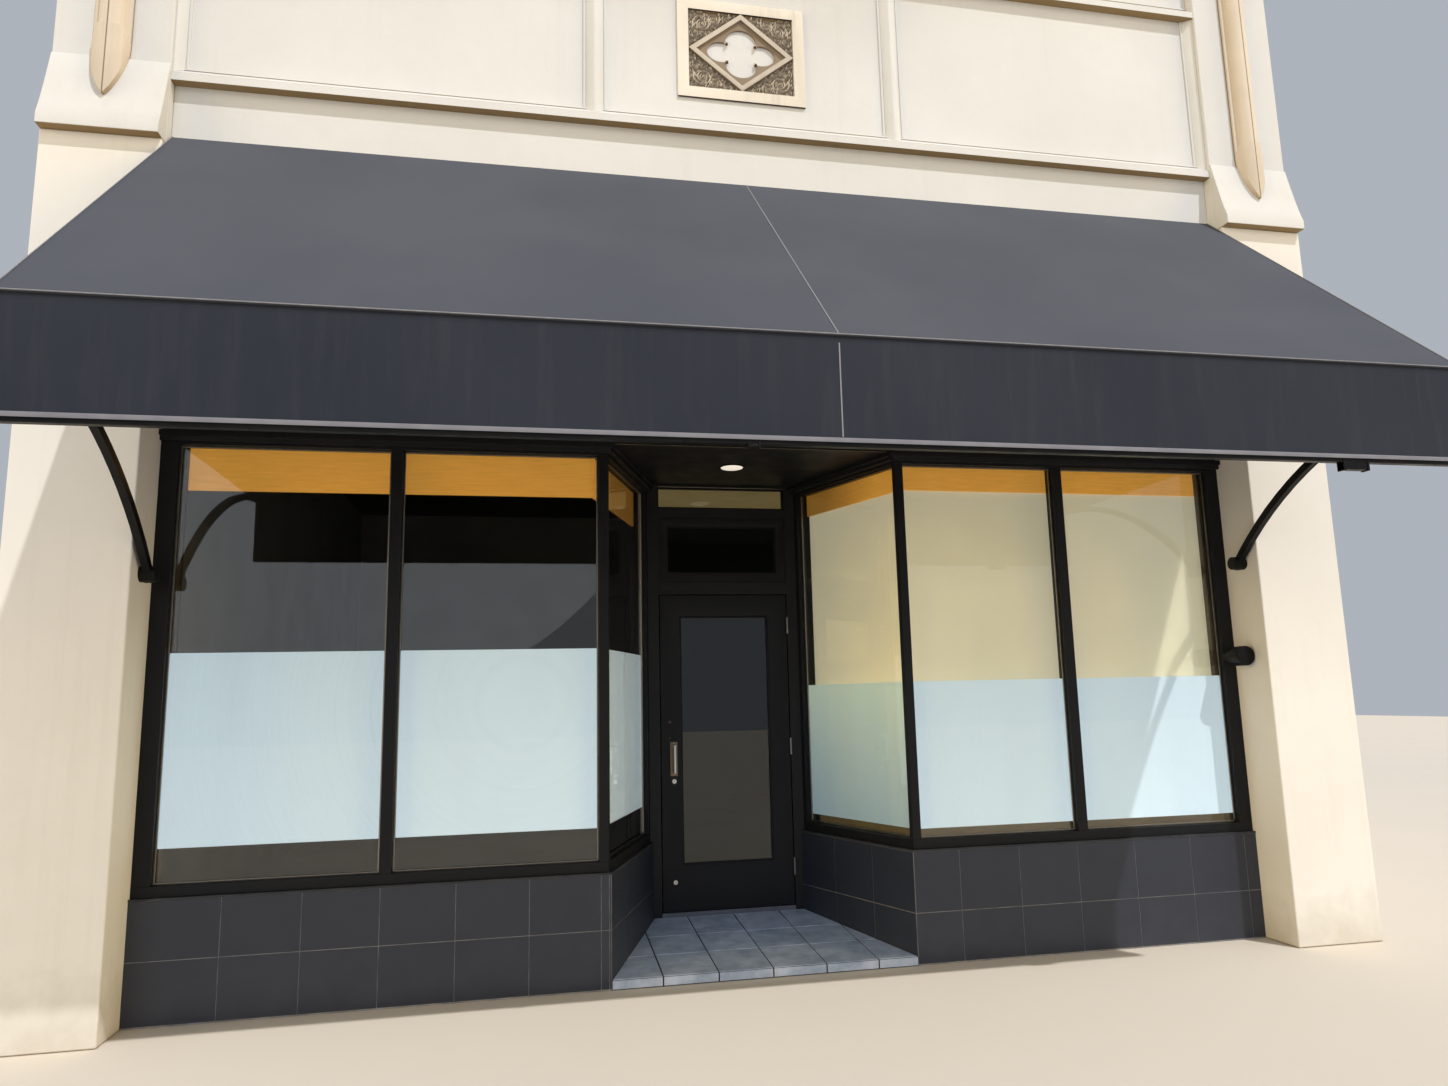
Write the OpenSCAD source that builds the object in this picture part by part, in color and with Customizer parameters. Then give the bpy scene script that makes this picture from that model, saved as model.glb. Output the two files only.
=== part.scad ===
// Shop building: one bay of a stucco row with a recessed shopfront and an awning.
// Millimetres. X runs along the street front, Y into the shop, Z up.
// The origin is on the ground, at the middle of the front, in the plane of the entry door's outer face.

/* [Building] */
// Clear width between the two piers
opening_w = 6590; // [5600:10:8000]
// Width of each pier
pier_w = 600; // [450:10:900]
// How far the pier's face stands in front of the bulkheads
pier_proud = 277; // [220:1:400]
// Depth of the building behind the bulkheads' face
shop_d = 9000; // [6000:50:14000]
// Thickness of the party walls and the rear wall
wall_t = 300; // [200:10:450]
// Height of the wall's top under the coping
wall_top = 6750; // [6560:10:8000]
// Height of the inside floor
floor_z = 150; // [135:1:200]
// Drop from the inside floor to the recess floor's street edge
entry_drop = 100; // [80:1:130]
// Step from the recess floor up to the door leaf's foot
entry_step = 37; // [20:1:60]
// Height of the roof slab's underside
ceiling_z = 4250; // [3800:10:4600]
// Thickness of the roof slab
roof_t = 200; // [150:10:300]

/* [Upper front] */
// Thickness of the front wall over the shopfront
front_wall_t = 300; // [250:10:400]
// How far the front wall's face stands in front of the bulkheads
front_wall_proud = 150; // [100:1:180]
// How far the pilaster's face stands in front of the front wall's face
pilaster_proud = 70; // [40:1:100]
// Height of the skirt block's foot, where the lower pier ends
skirt_z = 4665; // [4500:5:4700]
// Height of the skirt block
skirt_h = 485; // [300:5:600]
// How far the skirt's foot stands in front of the lower pier
skirt_lip = 60; // [30:1:90]
// Height of the skirt's upright foot band
skirt_band = 60; // [20:1:100]
// Width of the rib's leaf-shaped foot and of its flat band
rib_w = 190; // [120:1:240]
// Width of the rib's keeled roll above the foot
roll_w = 140; // [90:1:180]
// How far the rib stands out from the pilaster
rib_proud = 95; // [60:1:120]
// How far the flat band behind the roll stands out
rib_band_t = 22; // [10:1:40]
// Height of the shoulder over the leaf-shaped foot
rib_tail_z = 5300; // [5250:5:5500]
// Height of the shoulder's slope
rib_shoulder = 55; // [20:5:100]
// How full the rib's flanks are drawn. A higher number gives a sharper keel.
rib_swell = 2.2; // [1.5:0.1:3]
// How full the leaf-shaped foot is drawn. A lower number gives a rounder leaf.
leaf_swell = 0.75; // [0.5:0.05:1]
// Height of the foot's point
rib_tip_z = 4880; // [4780:5:5000]
// Height of the lower moulded rail's foot
low_rail_z = 5060; // [4980:5:5100]
// Distance from the wall's top down to the upper moulded rail's foot
high_rail_drop = 470; // [380:5:560]
// Height of the moulded rails
rail_h = 110; // [90:1:160]
// Height of the moulded rails' upright face
rail_face = 44; // [30:1:60]
// Depth of the groove over that face
rail_groove = 6; // [3:1:10]
// How far the moulded rails stand out from the front wall
rail_proud = 64; // [58:1:80]
// Width of the ridged upright bars
bar_w = 140; // [100:1:180]
// How far the upright bars' ridge stands out from the front wall
bar_proud = 45; // [20:1:50]
// Half the distance between the inner bars
bar_x = 970; // [700:1:1400]
// Sideways place of the middle between the inner bars
bar_shift = 36; // [-50:1:50]
// Width of the flat fillet along each moulding
fillet_w = 13; // [8:1:20]
// How far that fillet stands out
fillet_proud = 11; // [5:1:15]
// Height of the low parapets over the roof
parapet_h = 450; // [200:10:800]
// Height of the coping
coping_h = 120; // [80:5:200]
// How far the coping stands out
coping_lip = 70; // [40:5:120]
// Height of the coping's upright front face
coping_face = 60; // [30:5:100]

/* [Ornament] */
// Height between the moulded rails for which the cast panel is drawn. It is scaled to fit another height.
orn_panel_h = 1110; // [900:5:1300]
// Width of the cast panel
orn_w = 830; // [600:5:1000]
// Height of the cast panel
orn_h = 685; // [500:5:800]
// Height of the cast panel's middle over the lower rail
orn_mid = 482; // [400:1:600]
// How far the cast panel stands out from the wall
orn_proud = 16; // [10:1:80]
// Depth of the pocket in the wall behind the cast panel
orn_pocket = 18; // [12:1:60]
// Width of the panel's flat border
orn_border = 72; // [50:1:100]
// Thickness of the panel's recessed ground
orn_ground = 5; // [3:0.5:12]
// How far the diamond's face lies behind the border's face
diamond_back = 2; // [1:0.5:6]
// Width of the flat diamond bars
diamond_bar = 31; // [24:1:60]
// How far the diamond's middle plate lies behind its bars
plate_back = 17; // [8:1:24]
// Half the width of the opening between the cusps
cusp_x = 97; // [60:1:120]
// Half the height of the opening between the cusps
cusp_z = 66; // [40:1:90]
// Reach of the side lobes from the middle
lobe_reach_x = 222; // [180:1:240]
// Reach of the upper and lower lobes from the middle
lobe_reach_z = 166; // [140:1:200]
// Place of the side lobes' centres, as a share of cusp and reach together
lobe_mid_x = 0.41; // [0.3:0.01:0.5]
// Place of the upper and lower lobes' centres, as a share of cusp and reach together
lobe_mid_z = 0.34; // [0.3:0.01:0.5]
// Width of the lobes against the width between the cusps
lobe_swell = 1.05; // [1:0.01:1.15]

/* [Shopfront] */
// Depth of the recessed entry, from the bulkheads' face to the door
recess_d = 1100; // [900:5:1600]
// Sideways place of the entry's middle
entry_x = 60; // [-150:1:150]
// Half the width of the recess at the street
mouth_half = 897; // [700:1:1200]
// Half the width of the recess at the door
back_half = 520; // [515:1:620]
// Height of the bulkhead's tiles on the left
left_bulk_h = 612; // [500:1:700]
// Height of the bulkhead's tiles on the right
right_bulk_h = 642; // [500:1:740]
// Thickness of the bulkheads
bulk_t = 150; // [120:1:200]
// Thickness of the metal cap on the bulkheads
cap_t = 12; // [6:1:25]
// How far that cap stands out
cap_lip = 6; // [2:1:12]
// How far the frame's face lies behind the bulkhead's face
frame_back = 18; // [5:1:30]
// Depth of the frame's bars
frame_d = 100; // [80:1:130]
// Width of the posts
post_w = 65; // [45:1:90]
// Width of the frame's end posts, beside the piers
end_post_w = 90; // [60:1:120]
// Width of the recess's posts, along its sides
splay_post_w = 45; // [30:1:60]
// Depth of the corner posts behind the bulkhead's face
corner_d = 75; // [60:1:100]
// Height of the bottom rails
sill_h = 56; // [40:1:90]
// How far the glass lies behind the frame's face
glass_back = 45; // [25:1:60]
// Height of the glass's upper edge
glass_top = 3025; // [2900:5:3060]
// Height of the recess ceiling
soffit_z = 3095; // [3070:5:3200]
// Thickness of the recess ceiling board
soffit_t = 25; // [15:1:40]
// Thickness of the glass
glass_t = 10; // [6:1:16]
// Height of the cornice
cornice_h = 56; // [40:1:80]
// Projection of the cornice over the frame's face
cornice_proud = 46; // [20:1:70]
// Projection of the cornice's lower step, as a share of the whole
cornice_low = 0.6; // [0.3:0.05:0.8]
// Height of the cornice's lower step
cornice_step = 26; // [15:1:40]
// Diameter of the downlight
light_d = 150; // [90:5:200]
// How far the downlight's flange stands out round its opening
light_lip = 12; // [6:1:20]
// Height of the downlight's body
light_h = 90; // [40:5:140]
// Sideways place of the downlight
light_x = 20; // [-150:5:150]
// Distance of the downlight from the bulkheads' face
light_back = 525; // [300:5:800]
// Distance from the middle of the opening to the left window's middle post
left_mid_x = 2050; // [1600:5:2400]
// Distance from the middle of the opening to the right window's middle post
right_mid_x = 2095; // [1600:5:2400]

/* [Glass dressing] */
// Height of the frosted band's top on the left
film_top_left = 1878; // [1500:1:2100]
// Height of the frosted band's foot on the left
film_foot_left = 860; // [700:1:1200]
// Height of the frosted band's top on the right
film_top_right = 1650; // [1400:1:2100]
// Height of the frosted band's foot on the right
film_foot_right = 765; // [735:1:1200]
// Thickness of the frosted film
film_t = 1; // [0.5:0.1:2]
// Drop of the tan board behind the top of the left glass
pelmet_left = 238; // [120:1:350]
// Drop of the tan board behind the top of the right glass
pelmet_right = 150; // [100:1:350]
// Thickness of the tan board
pelmet_t = 18; // [10:1:25]
// Thickness of the roller shade
shade_t = 3; // [2:0.5:6]

/* [Door] */
// Width of the door leaf
door_w = 914; // [850:1:960]
// Height of the door leaf
door_h = 2134; // [2000:1:2140]
// Thickness of the door leaf
door_t = 45; // [40:1:55]
// Height of the door leaf's foot
door_z = 163; // [160:1:175]
// Gap around the door leaf
door_gap = 7; // [6:0.5:9]
// Depth of the door frame
jamb_d = 110; // [100:1:140]
// Width of the door's side bars
stile_w = 138; // [100:1:170]
// Height of the door's top bar
top_rail_h = 148; // [100:1:180]
// Height of the door's bottom bar
bottom_rail_h = 298; // [200:1:350]
// Height of the bar over the door
door_bar_h = 88; // [60:1:120]
// Height of the opening transom window
sash_h = 470; // [400:1:520]
// Width of the transom window's bars
sash_bar = 65; // [45:1:80]
// How far the transom window lies behind the door's face
sash_y = 12; // [5:1:25]
// Depth of the transom window's bars
sash_d = 50; // [40:1:60]
// Height of the bar under the top light
light_bar_h = 65; // [40:1:80]
// Height of the bar under the recess ceiling
head_bar_h = 18; // [12:1:50]
// Height of a hinge
hinge_h = 114; // [90:1:130]
// Distance from the door's foot to the lowest hinge's middle
hinge_foot = 254; // [150:1:400]
// Distance from the door's top to the highest hinge's middle
hinge_head = 218; // [150:1:400]
// Radius of a hinge's barrel
hinge_r = 8; // [6:0.5:10]
// Thickness of a hinge's plate
hinge_plate_t = 2; // [1.5:0.1:2.4]
// Length of the pull's plate
pull_h = 229; // [180:1:300]
// Width of the pull's plate
pull_w = 50; // [35:1:60]
// Height of the pull's middle
pull_z = 1168; // [950:1:1300]
// Clear depth behind the pull's bar
pull_gap = 42; // [35:1:60]
// Radius of the pull's bar
pull_r = 9; // [7:0.5:12]
// Distance from the end of the pull's plate to the nearer stem
pull_end = 24; // [15:1:40]
// Thickness of the pull's plate
pull_plate_t = 4; // [2:0.5:6]
// Distance from the door's edge to the middle of the pull
pull_in = 86; // [60:1:100]
// Height of the low lock over the door's foot
low_lock_z = 190; // [120:1:260]
// Distance from the pull's plate down to the upper lock's middle
lock_drop = 36; // [25:1:60]
// Radius of the locks
lock_r = 15; // [10:1:22]
// How far the locks stand out
lock_out = 9; // [4:1:15]

/* [Awning] */
// Height of the awning's top at the wall
awning_z = 4750; // [4500:5:4800]
// Horizontal reach of the awning from the wall
awning_reach = 1666; // [1200:2:2000]
// Height of the fold between slope and valance
fold_z = 3138; // [3000:2:3300]
// Depth of the front valance
valance_h = 488; // [300:2:600]
// Gap between the awning's ends and the piers
awning_gap = 10; // [5:1:400]
// Thickness of the fabric's solid
fabric_t = 8; // [5:1:12]
// Size of the awning frame's square tube
tube = 38; // [25:1:50]
// Number of sloping bars in the awning frame
rafter_n = 5; // [3:1:9]
// How far the hem rail hangs below the valance's foot
hem_drop = 18; // [5:1:30]
// Height of the left arm's pivot beside the pier
arm_left_z = 2280; // [2000:5:2450]
// Height of the right arm's pivot beside the pier
arm_right_z = 2372; // [2000:1:2450]
// Distance from the window frame's face out to the arms' pivots
arm_out = 158; // [60:1:220]
// Width of the arm's bar, seen from the side
arm_bar = 44; // [30:1:55]
// Thickness of the arm's bar
arm_t = 38; // [20:1:38]
// How far the arm bows upwards
arm_bow = 195; // [60:5:250]
// How far the arm runs on below its pivot
arm_over = 40; // [25:1:60]
// How far the arm's upper end lies below the middle of the rail behind the fold
arm_drop = 16; // [14:1:24]
// Radius of the round knuckle on the arm's pivot
boss_r = 42; // [30:1:50]
// How far the knuckle stands out beside the arm
boss_out = 26; // [5:1:40]
// Distance from the opening's side to the arm
arm_inset = 18; // [18:1:40]

/* [Lamp] */
// Height of the round lamp beside the right pier
lamp_z = 1770; // [1500:5:2100]
// Diameter of the lamp's head
lamp_d = 126; // [80:1:140]
// Length of the lamp's head
lamp_l = 96; // [70:1:160]
// Diameter of the swivel behind the head
swivel_d = 84; // [50:1:100]
// Length of the swivel
swivel_l = 58; // [30:1:100]
// Length of the cone between the swivel and the head
lamp_cone = 12; // [6:1:40]
// Diameter of the pin between the window frame and the swivel
lamp_pin_d = 46; // [25:1:60]
// Length of that pin
lamp_pin_l = 18; // [8:1:40]
// Gap between the lamp's head and the pier beside it
lamp_gap = 4; // [2:1:20]

/* [Hidden] */
$fn = 32;

stucco = [0.93, 0.90, 0.84];
stone = [0.78, 0.74, 0.69];
frame_black = [0.09, 0.09, 0.10];
tile_dark = [0.20, 0.21, 0.25];
silver = [0.75, 0.75, 0.76];
fabric_dark = [0.25, 0.27, 0.31];
tan = [0.75, 0.55, 0.25];
clear_glass = [0.6, 0.72, 0.72, 0.4];

half = opening_w / 2;
outer = half + pier_w;
street_y = -recess_d;
pier_y = street_y - pier_proud;
wall_y = street_y - front_wall_proud;
pilaster_y = wall_y - pilaster_proud;
wall_back = wall_y + front_wall_t;
rear_y = street_y + shop_d;
lintel_z = soffit_z + soffit_t;

// The recess in plan: each side runs from the mouth to the door frame
mouth_l = entry_x - mouth_half;
mouth_r = entry_x + mouth_half;
back_l = entry_x - back_half;
back_r = entry_x + back_half;
splay_dx = mouth_half - back_half;
splay_len = sqrt(splay_dx * splay_dx + recess_d * recess_d);
splay_a = atan2(splay_dx, recess_d);
// Shift along the front of a mitre joint, for each millimetre behind the face
mitre = tan((90 - splay_a) / 2);

left_cap_z = left_bulk_h + cap_t;
right_cap_z = right_bulk_h + cap_t;
frame_y = street_y + frame_back;
// Clearance where two sloping or round faces would touch, and half a mitre joint's opening
seat = 0.3;
high_rail_z = wall_top - high_rail_drop;

door_l = entry_x - door_w / 2;
door_r = entry_x + door_w / 2;
door_top = door_z + door_h;
leaf_y = 0;
jamb_l = door_l - door_gap;
jamb_r = door_r + door_gap;
bar_over_door = door_top + door_gap;
sash_z = bar_over_door + door_bar_h;
light_bar_z = sash_z + sash_h;
top_light_z = light_bar_z + light_bar_h;
head_bar_z = soffit_z - head_bar_h;
hinge_x = door_r + door_gap / 2;
hinge_y = leaf_y - hinge_r - 1;
glass_d = frame_back + glass_back;
left_sill_top = left_cap_z + sill_h;
right_sill_top = right_cap_z + sill_h;
left_mid = -left_mid_x;
right_mid = right_mid_x;
light_y = street_y + light_back;

awning_half = half - awning_gap;
slope_rise = awning_z - fold_z;
awning_tan = slope_rise / awning_reach;
awning_a = atan(awning_tan);
drop_t = fabric_t / cos(awning_a);
fold_y = wall_y - awning_reach;
rail_back = fold_y + fabric_t + tube;
front_rail_z = fold_z - valance_h - hem_drop;
fold_rail_z = fold_z - drop_t - tube;
arm_y = frame_y - arm_out;
arm_top_z = fold_rail_z + tube / 2 - arm_drop;
// Height of the plain parapets over the roof
party_top = ceiling_z + roof_t + parapet_h;

panel_foot = low_rail_z + rail_h;
orn_k = (high_rail_z - panel_foot) / orn_panel_h;
orn_mid_z = panel_foot + orn_mid * orn_k;
orn_in_w = orn_w - 2 * orn_border;
orn_in_h = orn_h - 2 * orn_border;
orn_ground_y = wall_y + orn_pocket - orn_ground;

// The rib's ridge, half its flat width, and the steps in its curves
rib_ridge = 2;
rib_steps = 8;

// The skirt's slope: its hollow, its steps, and the small ledge at its top
skirt_curve = 0.86;
skirt_steps = 6;
skirt_ledge = 8;

hinge_zs = [door_z + hinge_foot, door_z + door_h / 2, door_top - hinge_head];
// Gap between two knuckles of a hinge is twice this
hinge_slit = 0.4;
// The hinge plates lie this far behind the door's faces
hinge_plate_in = 1;

module slab(x0, x1, y0, y1, z0, z1) {
    translate([x0, y0, z0]) cube([x1 - x0, y1 - y0, z1 - z0]);
}

// Upright prism over a plan outline
module prism(points, z0, z1) {
    translate([0, 0, z0]) linear_extrude(z1 - z0) polygon(points);
}

// Profile given as [y, z], drawn out along X
module along_x(points, x0, x1) {
    translate([x0, 0, 0]) rotate([90, 0, 90]) linear_extrude(x1 - x0) polygon(points);
}

// Outline given as [x, z], with its front at y0 and its back at y1
module front_on(y0, y1) {
    translate([0, y1, 0]) rotate([90, 0, 0]) linear_extrude(y1 - y0) children();
}

// A strip on one side's front and one on its splay, from depth d0 to d1 behind the face, with a mitre
// at the corner.
// far is the distance from the mouth's corner to the strip's outer end.
module strips(side, corner, far, d0, d1, z0, z1) {
    joint = seat / cos(45 - splay_a / 2);
    slope = tan(splay_a);
    prism([
        [corner - side * far, street_y + d0],
        [corner - side * (d0 * mitre + joint), street_y + d0],
        [corner - side * (d1 * mitre + joint), street_y + d1],
        [corner - side * far, street_y + d1]
    ], z0, z1);
    prism([
        splay_pt(side, corner, d0 * mitre + joint, d0),
        [corner - side * d0 * mitre + side * (recess_d - d0) * slope, 0],
        [corner - side * d1 * mitre + side * (recess_d - d1) * slope, 0],
        splay_pt(side, corner, d1 * mitre + joint, d1)
    ], z0, z1);
}

module pier(side) {
    mirror([side < 0 ? 1 : 0, 0, 0]) slab(half, outer, pier_y, wall_back, 0, skirt_z);
}

module pier_left() { color(stucco) pier(-1); }
module pier_right() { color(stucco) pier(1); }

module pilaster(side) {
    mirror([side < 0 ? 1 : 0, 0, 0]) slab(half, outer, pilaster_y, wall_back, skirt_z, wall_top);
}

module pilaster_left() { color(stucco) pilaster(-1); }
module pilaster_right() { color(stucco) pilaster(1); }

// Weathered block over a pier, in [y, z]: upright foot band, then a hollow slope back to the pilaster
function skirt_profile(back_y) =
    let (
        foot_y = pier_y - skirt_lip,
        slope_y = pilaster_y - skirt_ledge - foot_y,
        slope_z = skirt_h - skirt_band
    )
    concat(
        [[back_y, skirt_z], [foot_y, skirt_z]],
        [for (i = [0:skirt_steps]) let (t = i / skirt_steps)
            [foot_y + slope_y * pow(t, skirt_curve), skirt_z + skirt_band + slope_z * t]],
        [[back_y, skirt_z + skirt_h]]
    );

module skirt_blocks() {
    color(stucco) for (side = [-1, 1]) mirror([side < 0 ? 1 : 0, 0, 0])
        along_x(skirt_profile(pilaster_y), half, outer);
}

// Keeled section of the rib: each flank swells, then meets the other at a narrow ridge
module rib_section(w) {
    flank = [for (i = [0:rib_steps]) let (t = i / rib_steps)
        [w / 2 - (w / 2 - rib_ridge) * pow(t, rib_swell), rib_proud * sin(90 * t)]];
    polygon(concat(
        [for (p = flank) [p[0], -p[1]]],
        [for (i = [rib_steps:-1:0]) [-flank[i][0], -flank[i][1]]]
    ));
}

// Leaf-shaped foot seen from the front, with a shoulder up to the roll
module leaf_outline() {
    tail = rib_tail_z - rib_shoulder - rib_tip_z;
    right = [for (i = [0:rib_steps]) let (t = i / rib_steps)
        [rib_w / 2 * sin(90 * pow(t, leaf_swell)), rib_tip_z + tail * t]];
    polygon(concat(right, [[roll_w / 2, rib_tail_z], [-roll_w / 2, rib_tail_z]],
        [for (i = [rib_steps:-1:1]) [-right[i][0], right[i][1]]]));
}

// Rib on each pilaster: keeled roll on a flat band, ending in a leaf over the skirt block
module pilaster_ribs() {
    rib_x = half + pier_w / 2;
    color(stucco) for (side = [-1, 1]) mirror([side < 0 ? 1 : 0, 0, 0])
        difference() {
            translate([rib_x, 0, 0]) {
                intersection() {
                    translate([0, pilaster_y, rib_tip_z])
                        linear_extrude(rib_tail_z - rib_tip_z) rib_section(rib_w);
                    front_on(pilaster_y - rib_proud - 1, pilaster_y) leaf_outline();
                }
                translate([0, pilaster_y, rib_tail_z - 1])
                    linear_extrude(wall_top - rib_tail_z + 1) rib_section(roll_w);
                slab(-rib_w / 2, rib_w / 2, pilaster_y - rib_band_t, pilaster_y,
                    rib_tail_z - rib_shoulder, wall_top);
            }
            along_x(skirt_profile(pilaster_y + 1), half, outer);
        }
}

module front_wall() {
    color(stucco) difference() {
        slab(-half, half, wall_y, wall_back, lintel_z, wall_top);
        orn_on(wall_y - 1, wall_y + orn_pocket) square([orn_in_w, orn_in_h], center = true);
    }
}

// Section of a moulded rail: flat underside, upright face, groove, slope back to a fillet on the wall
function rail_section(z) = [
    [wall_y, z],
    [wall_y - rail_proud, z],
    [wall_y - rail_proud, z + rail_face],
    [wall_y - rail_proud + rail_groove, z + rail_face],
    [wall_y - rail_proud + rail_groove / 2, z + rail_face + rail_groove],
    [wall_y - fillet_proud / 2, z + rail_h - fillet_w],
    [wall_y - fillet_proud, z + rail_h - fillet_w],
    [wall_y - fillet_proud, z + rail_h],
    [wall_y, z + rail_h]
];

module panel_rails() {
    color(stucco) for (z = [low_rail_z, high_rail_z]) along_x(rail_section(z), -half, half);
}

// Upright bar in plan, about its ridge: on each side a slope down to a fillet on the wall
module panel_bar(x) {
    ridge = fillet_w / 2;
    side = [[bar_w / 2, 0], [bar_w / 2, -fillet_proud], [bar_w / 2 - fillet_w, -fillet_proud],
        [bar_w / 2 - fillet_w, -fillet_proud / 2], [ridge, -bar_proud]];
    translate([x, wall_y, low_rail_z]) linear_extrude(high_rail_z - low_rail_z)
        polygon(concat(side, [for (i = [len(side) - 1:-1:0]) [-side[i][0], side[i][1]]]));
}

// The bars' slopes meet the lower rail's slope at a mitre. At the pilasters only half a bar shows.
module panel_bars() {
    color(stucco) intersection() {
        difference() {
            for (x = [-half, bar_shift - bar_x, bar_shift + bar_x, half]) panel_bar(x);
            along_x(rail_section(low_rail_z), -half - 1, half + 1);
            slab(-half - 1, half + 1, wall_y - fillet_proud, wall_y + 1, low_rail_z - 1, panel_foot);
        }
        slab(-half, half, wall_y - bar_proud, wall_y, low_rail_z, high_rail_z);
    }
}

// The cast panel's outlines, in its own width and height, from y0 to y1
module orn_on(y0, y1) {
    front_on(y0, y1) translate([0, orn_mid_z]) scale(orn_k) children();
}

// Flat border with a sunk ground for the carving
module ornament_frame() {
    color(stone) {
        orn_on(wall_y - orn_proud, wall_y) difference() {
            square([orn_w, orn_h], center = true);
            square([orn_in_w, orn_in_h], center = true);
        }
        orn_on(orn_ground_y, wall_y + orn_pocket) difference() {
            square([orn_in_w, orn_in_h], center = true);
            lobes();
        }
    }
}

// Four-lobed opening: its lobes meet at four cusps
module lobes() {
    side_x = (cusp_x + lobe_reach_x) * lobe_mid_x;
    mid_z = (cusp_z + lobe_reach_z) * lobe_mid_z;
    for (s = [-1, 1]) {
        translate([s * side_x, 0]) scale([lobe_reach_x - side_x, cusp_z * lobe_swell]) circle(r = 1);
        translate([0, s * mid_z]) scale([cusp_x * lobe_swell, lobe_reach_z - mid_z]) circle(r = 1);
    }
    square([2 * cusp_x, 2 * cusp_z], center = true);
}

module diamond(w, h) {
    polygon([[-w / 2, 0], [0, -h / 2], [w / 2, 0], [0, h / 2]]);
}

// Diamond frame with a plate set back in it, cut through by the four lobes
module ornament_tracery() {
    front_y = wall_y - orn_proud + diamond_back;
    bar = diamond_bar / sin(atan(orn_in_h / orn_in_w));
    bar_h = bar * orn_in_h / orn_in_w;
    color(stone) difference() {
        orn_on(front_y, orn_ground_y) difference() {
            diamond(orn_in_w, orn_in_h);
            lobes();
        }
        orn_on(front_y - 1, front_y + plate_back) diamond(orn_in_w - 2 * bar, orn_in_h - 2 * bar_h);
    }
}

// Coping: weathered to both sides, with a sloped underside along the front lip
module coping() {
    y0 = pilaster_y - coping_lip;
    y1 = wall_back + coping_lip / 2;
    top_rise = (coping_h - coping_face) / 2;
    color(stone) along_x([
        [y0, wall_top + coping_h - coping_face - top_rise],
        [y0, wall_top + coping_h - top_rise],
        [(y0 + y1) / 2, wall_top + coping_h],
        [y1, wall_top + coping_h - top_rise],
        [y1, wall_top],
        [pilaster_y - coping_lip / 3, wall_top]
    ], -outer, outer);
}

module party_wall(side) {
    mirror([side < 0 ? 1 : 0, 0, 0]) slab(outer - wall_t, outer, wall_back, rear_y, 0, party_top);
}

module party_wall_left() { color(stucco) party_wall(-1); }
module party_wall_right() { color(stucco) party_wall(1); }

module rear_wall() {
    color(stucco) slab(-outer + wall_t, outer - wall_t, rear_y - wall_t, rear_y, 0, party_top);
}

module roof_slab() {
    color("gray")
        slab(-outer + wall_t, outer - wall_t, wall_back, rear_y - wall_t, ceiling_z, ceiling_z + roof_t);
}

module floor_slab() {
    color("gray") slab(-outer + wall_t, outer - wall_t, jamb_d, rear_y - wall_t, 0, floor_z);
}

// Floor behind the bulkheads, beside the recess
module bay_floors() {
    out = bulk_t / cos(splay_a);
    side_x = outer - wall_t;
    color("gray") {
        prism([
            [-half, street_y + bulk_t],
            [mouth_l - bulk_t * mitre, street_y + bulk_t],
            [back_l - out, 0],
            [back_l - out, jamb_d],
            [-side_x, jamb_d],
            [-side_x, wall_back],
            [-half, wall_back]
        ], 0, floor_z);
        prism([
            [half, street_y + bulk_t],
            [mouth_r + bulk_t * mitre, street_y + bulk_t],
            [back_r + out, 0],
            [back_r + out, jamb_d],
            [side_x, jamb_d],
            [side_x, wall_back],
            [half, wall_back]
        ], 0, floor_z);
    }
}

// Tiled floor of the recess, which rises a little to the threshold
module entry_floor() {
    front_z = floor_z - entry_drop;
    back_z = door_z - entry_step;
    color("silver") intersection() {
        prism([[mouth_l, street_y], [mouth_r, street_y], [back_r, 0], [back_l, 0]], 0, floor_z);
        along_x([[street_y, 0], [0, 0], [0, back_z], [street_y, front_z]], mouth_l, mouth_r);
    }
}

module bulkhead_left() {
    color(tile_dark) prism([
        [-half, street_y],
        [mouth_l, street_y],
        [mouth_l - bulk_t * mitre, street_y + bulk_t],
        [-half, street_y + bulk_t]
    ], 0, left_bulk_h);
}

module bulkhead_right() {
    color(tile_dark) prism([
        [half, street_y],
        [mouth_r, street_y],
        [mouth_r + bulk_t * mitre, street_y + bulk_t],
        [half, street_y + bulk_t]
    ], 0, right_bulk_h);
}

module splay_bulk(side, corner, top) {
    slope = tan(splay_a);
    prism([
        [corner, street_y],
        [corner + side * recess_d * slope, 0],
        [corner - side * bulk_t * mitre + side * (recess_d - bulk_t) * slope, 0],
        [corner - side * bulk_t * mitre, street_y + bulk_t]
    ], 0, top);
}

module bulkhead_splays() {
    color(tile_dark) {
        splay_bulk(1, mouth_l, left_bulk_h);
        splay_bulk(-1, mouth_r, right_bulk_h);
    }
}

module bulkhead_caps() {
    color(silver) {
        strips(1, mouth_l, mouth_l + half, -cap_lip, bulk_t, left_bulk_h, left_cap_z);
        strips(-1, mouth_r, half - mouth_r, -cap_lip, bulk_t, right_bulk_h, right_cap_z);
    }
}

// Point in plan beside one splay: along it from the mouth's corner, and d behind its face
function splay_pt(side, corner, along, d) = [
    corner + side * (along * sin(splay_a) - d * cos(splay_a)),
    street_y + along * cos(splay_a) + d * sin(splay_a)
];

// Distance along the splay to the door frame's plane, at depth d behind the face
function splay_end(d) = splay_len - d * tan(splay_a);

module corner_post(side, corner, z0) {
    d0 = frame_back;
    d1 = corner_d;
    prism([
        [corner - side * post_w, street_y + d0],
        [corner - side * d0 * mitre, street_y + d0],
        splay_pt(side, corner, splay_post_w, d0),
        splay_pt(side, corner, splay_post_w, d1),
        [corner - side * post_w, street_y + d1]
    ], z0, glass_top);
}

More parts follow.
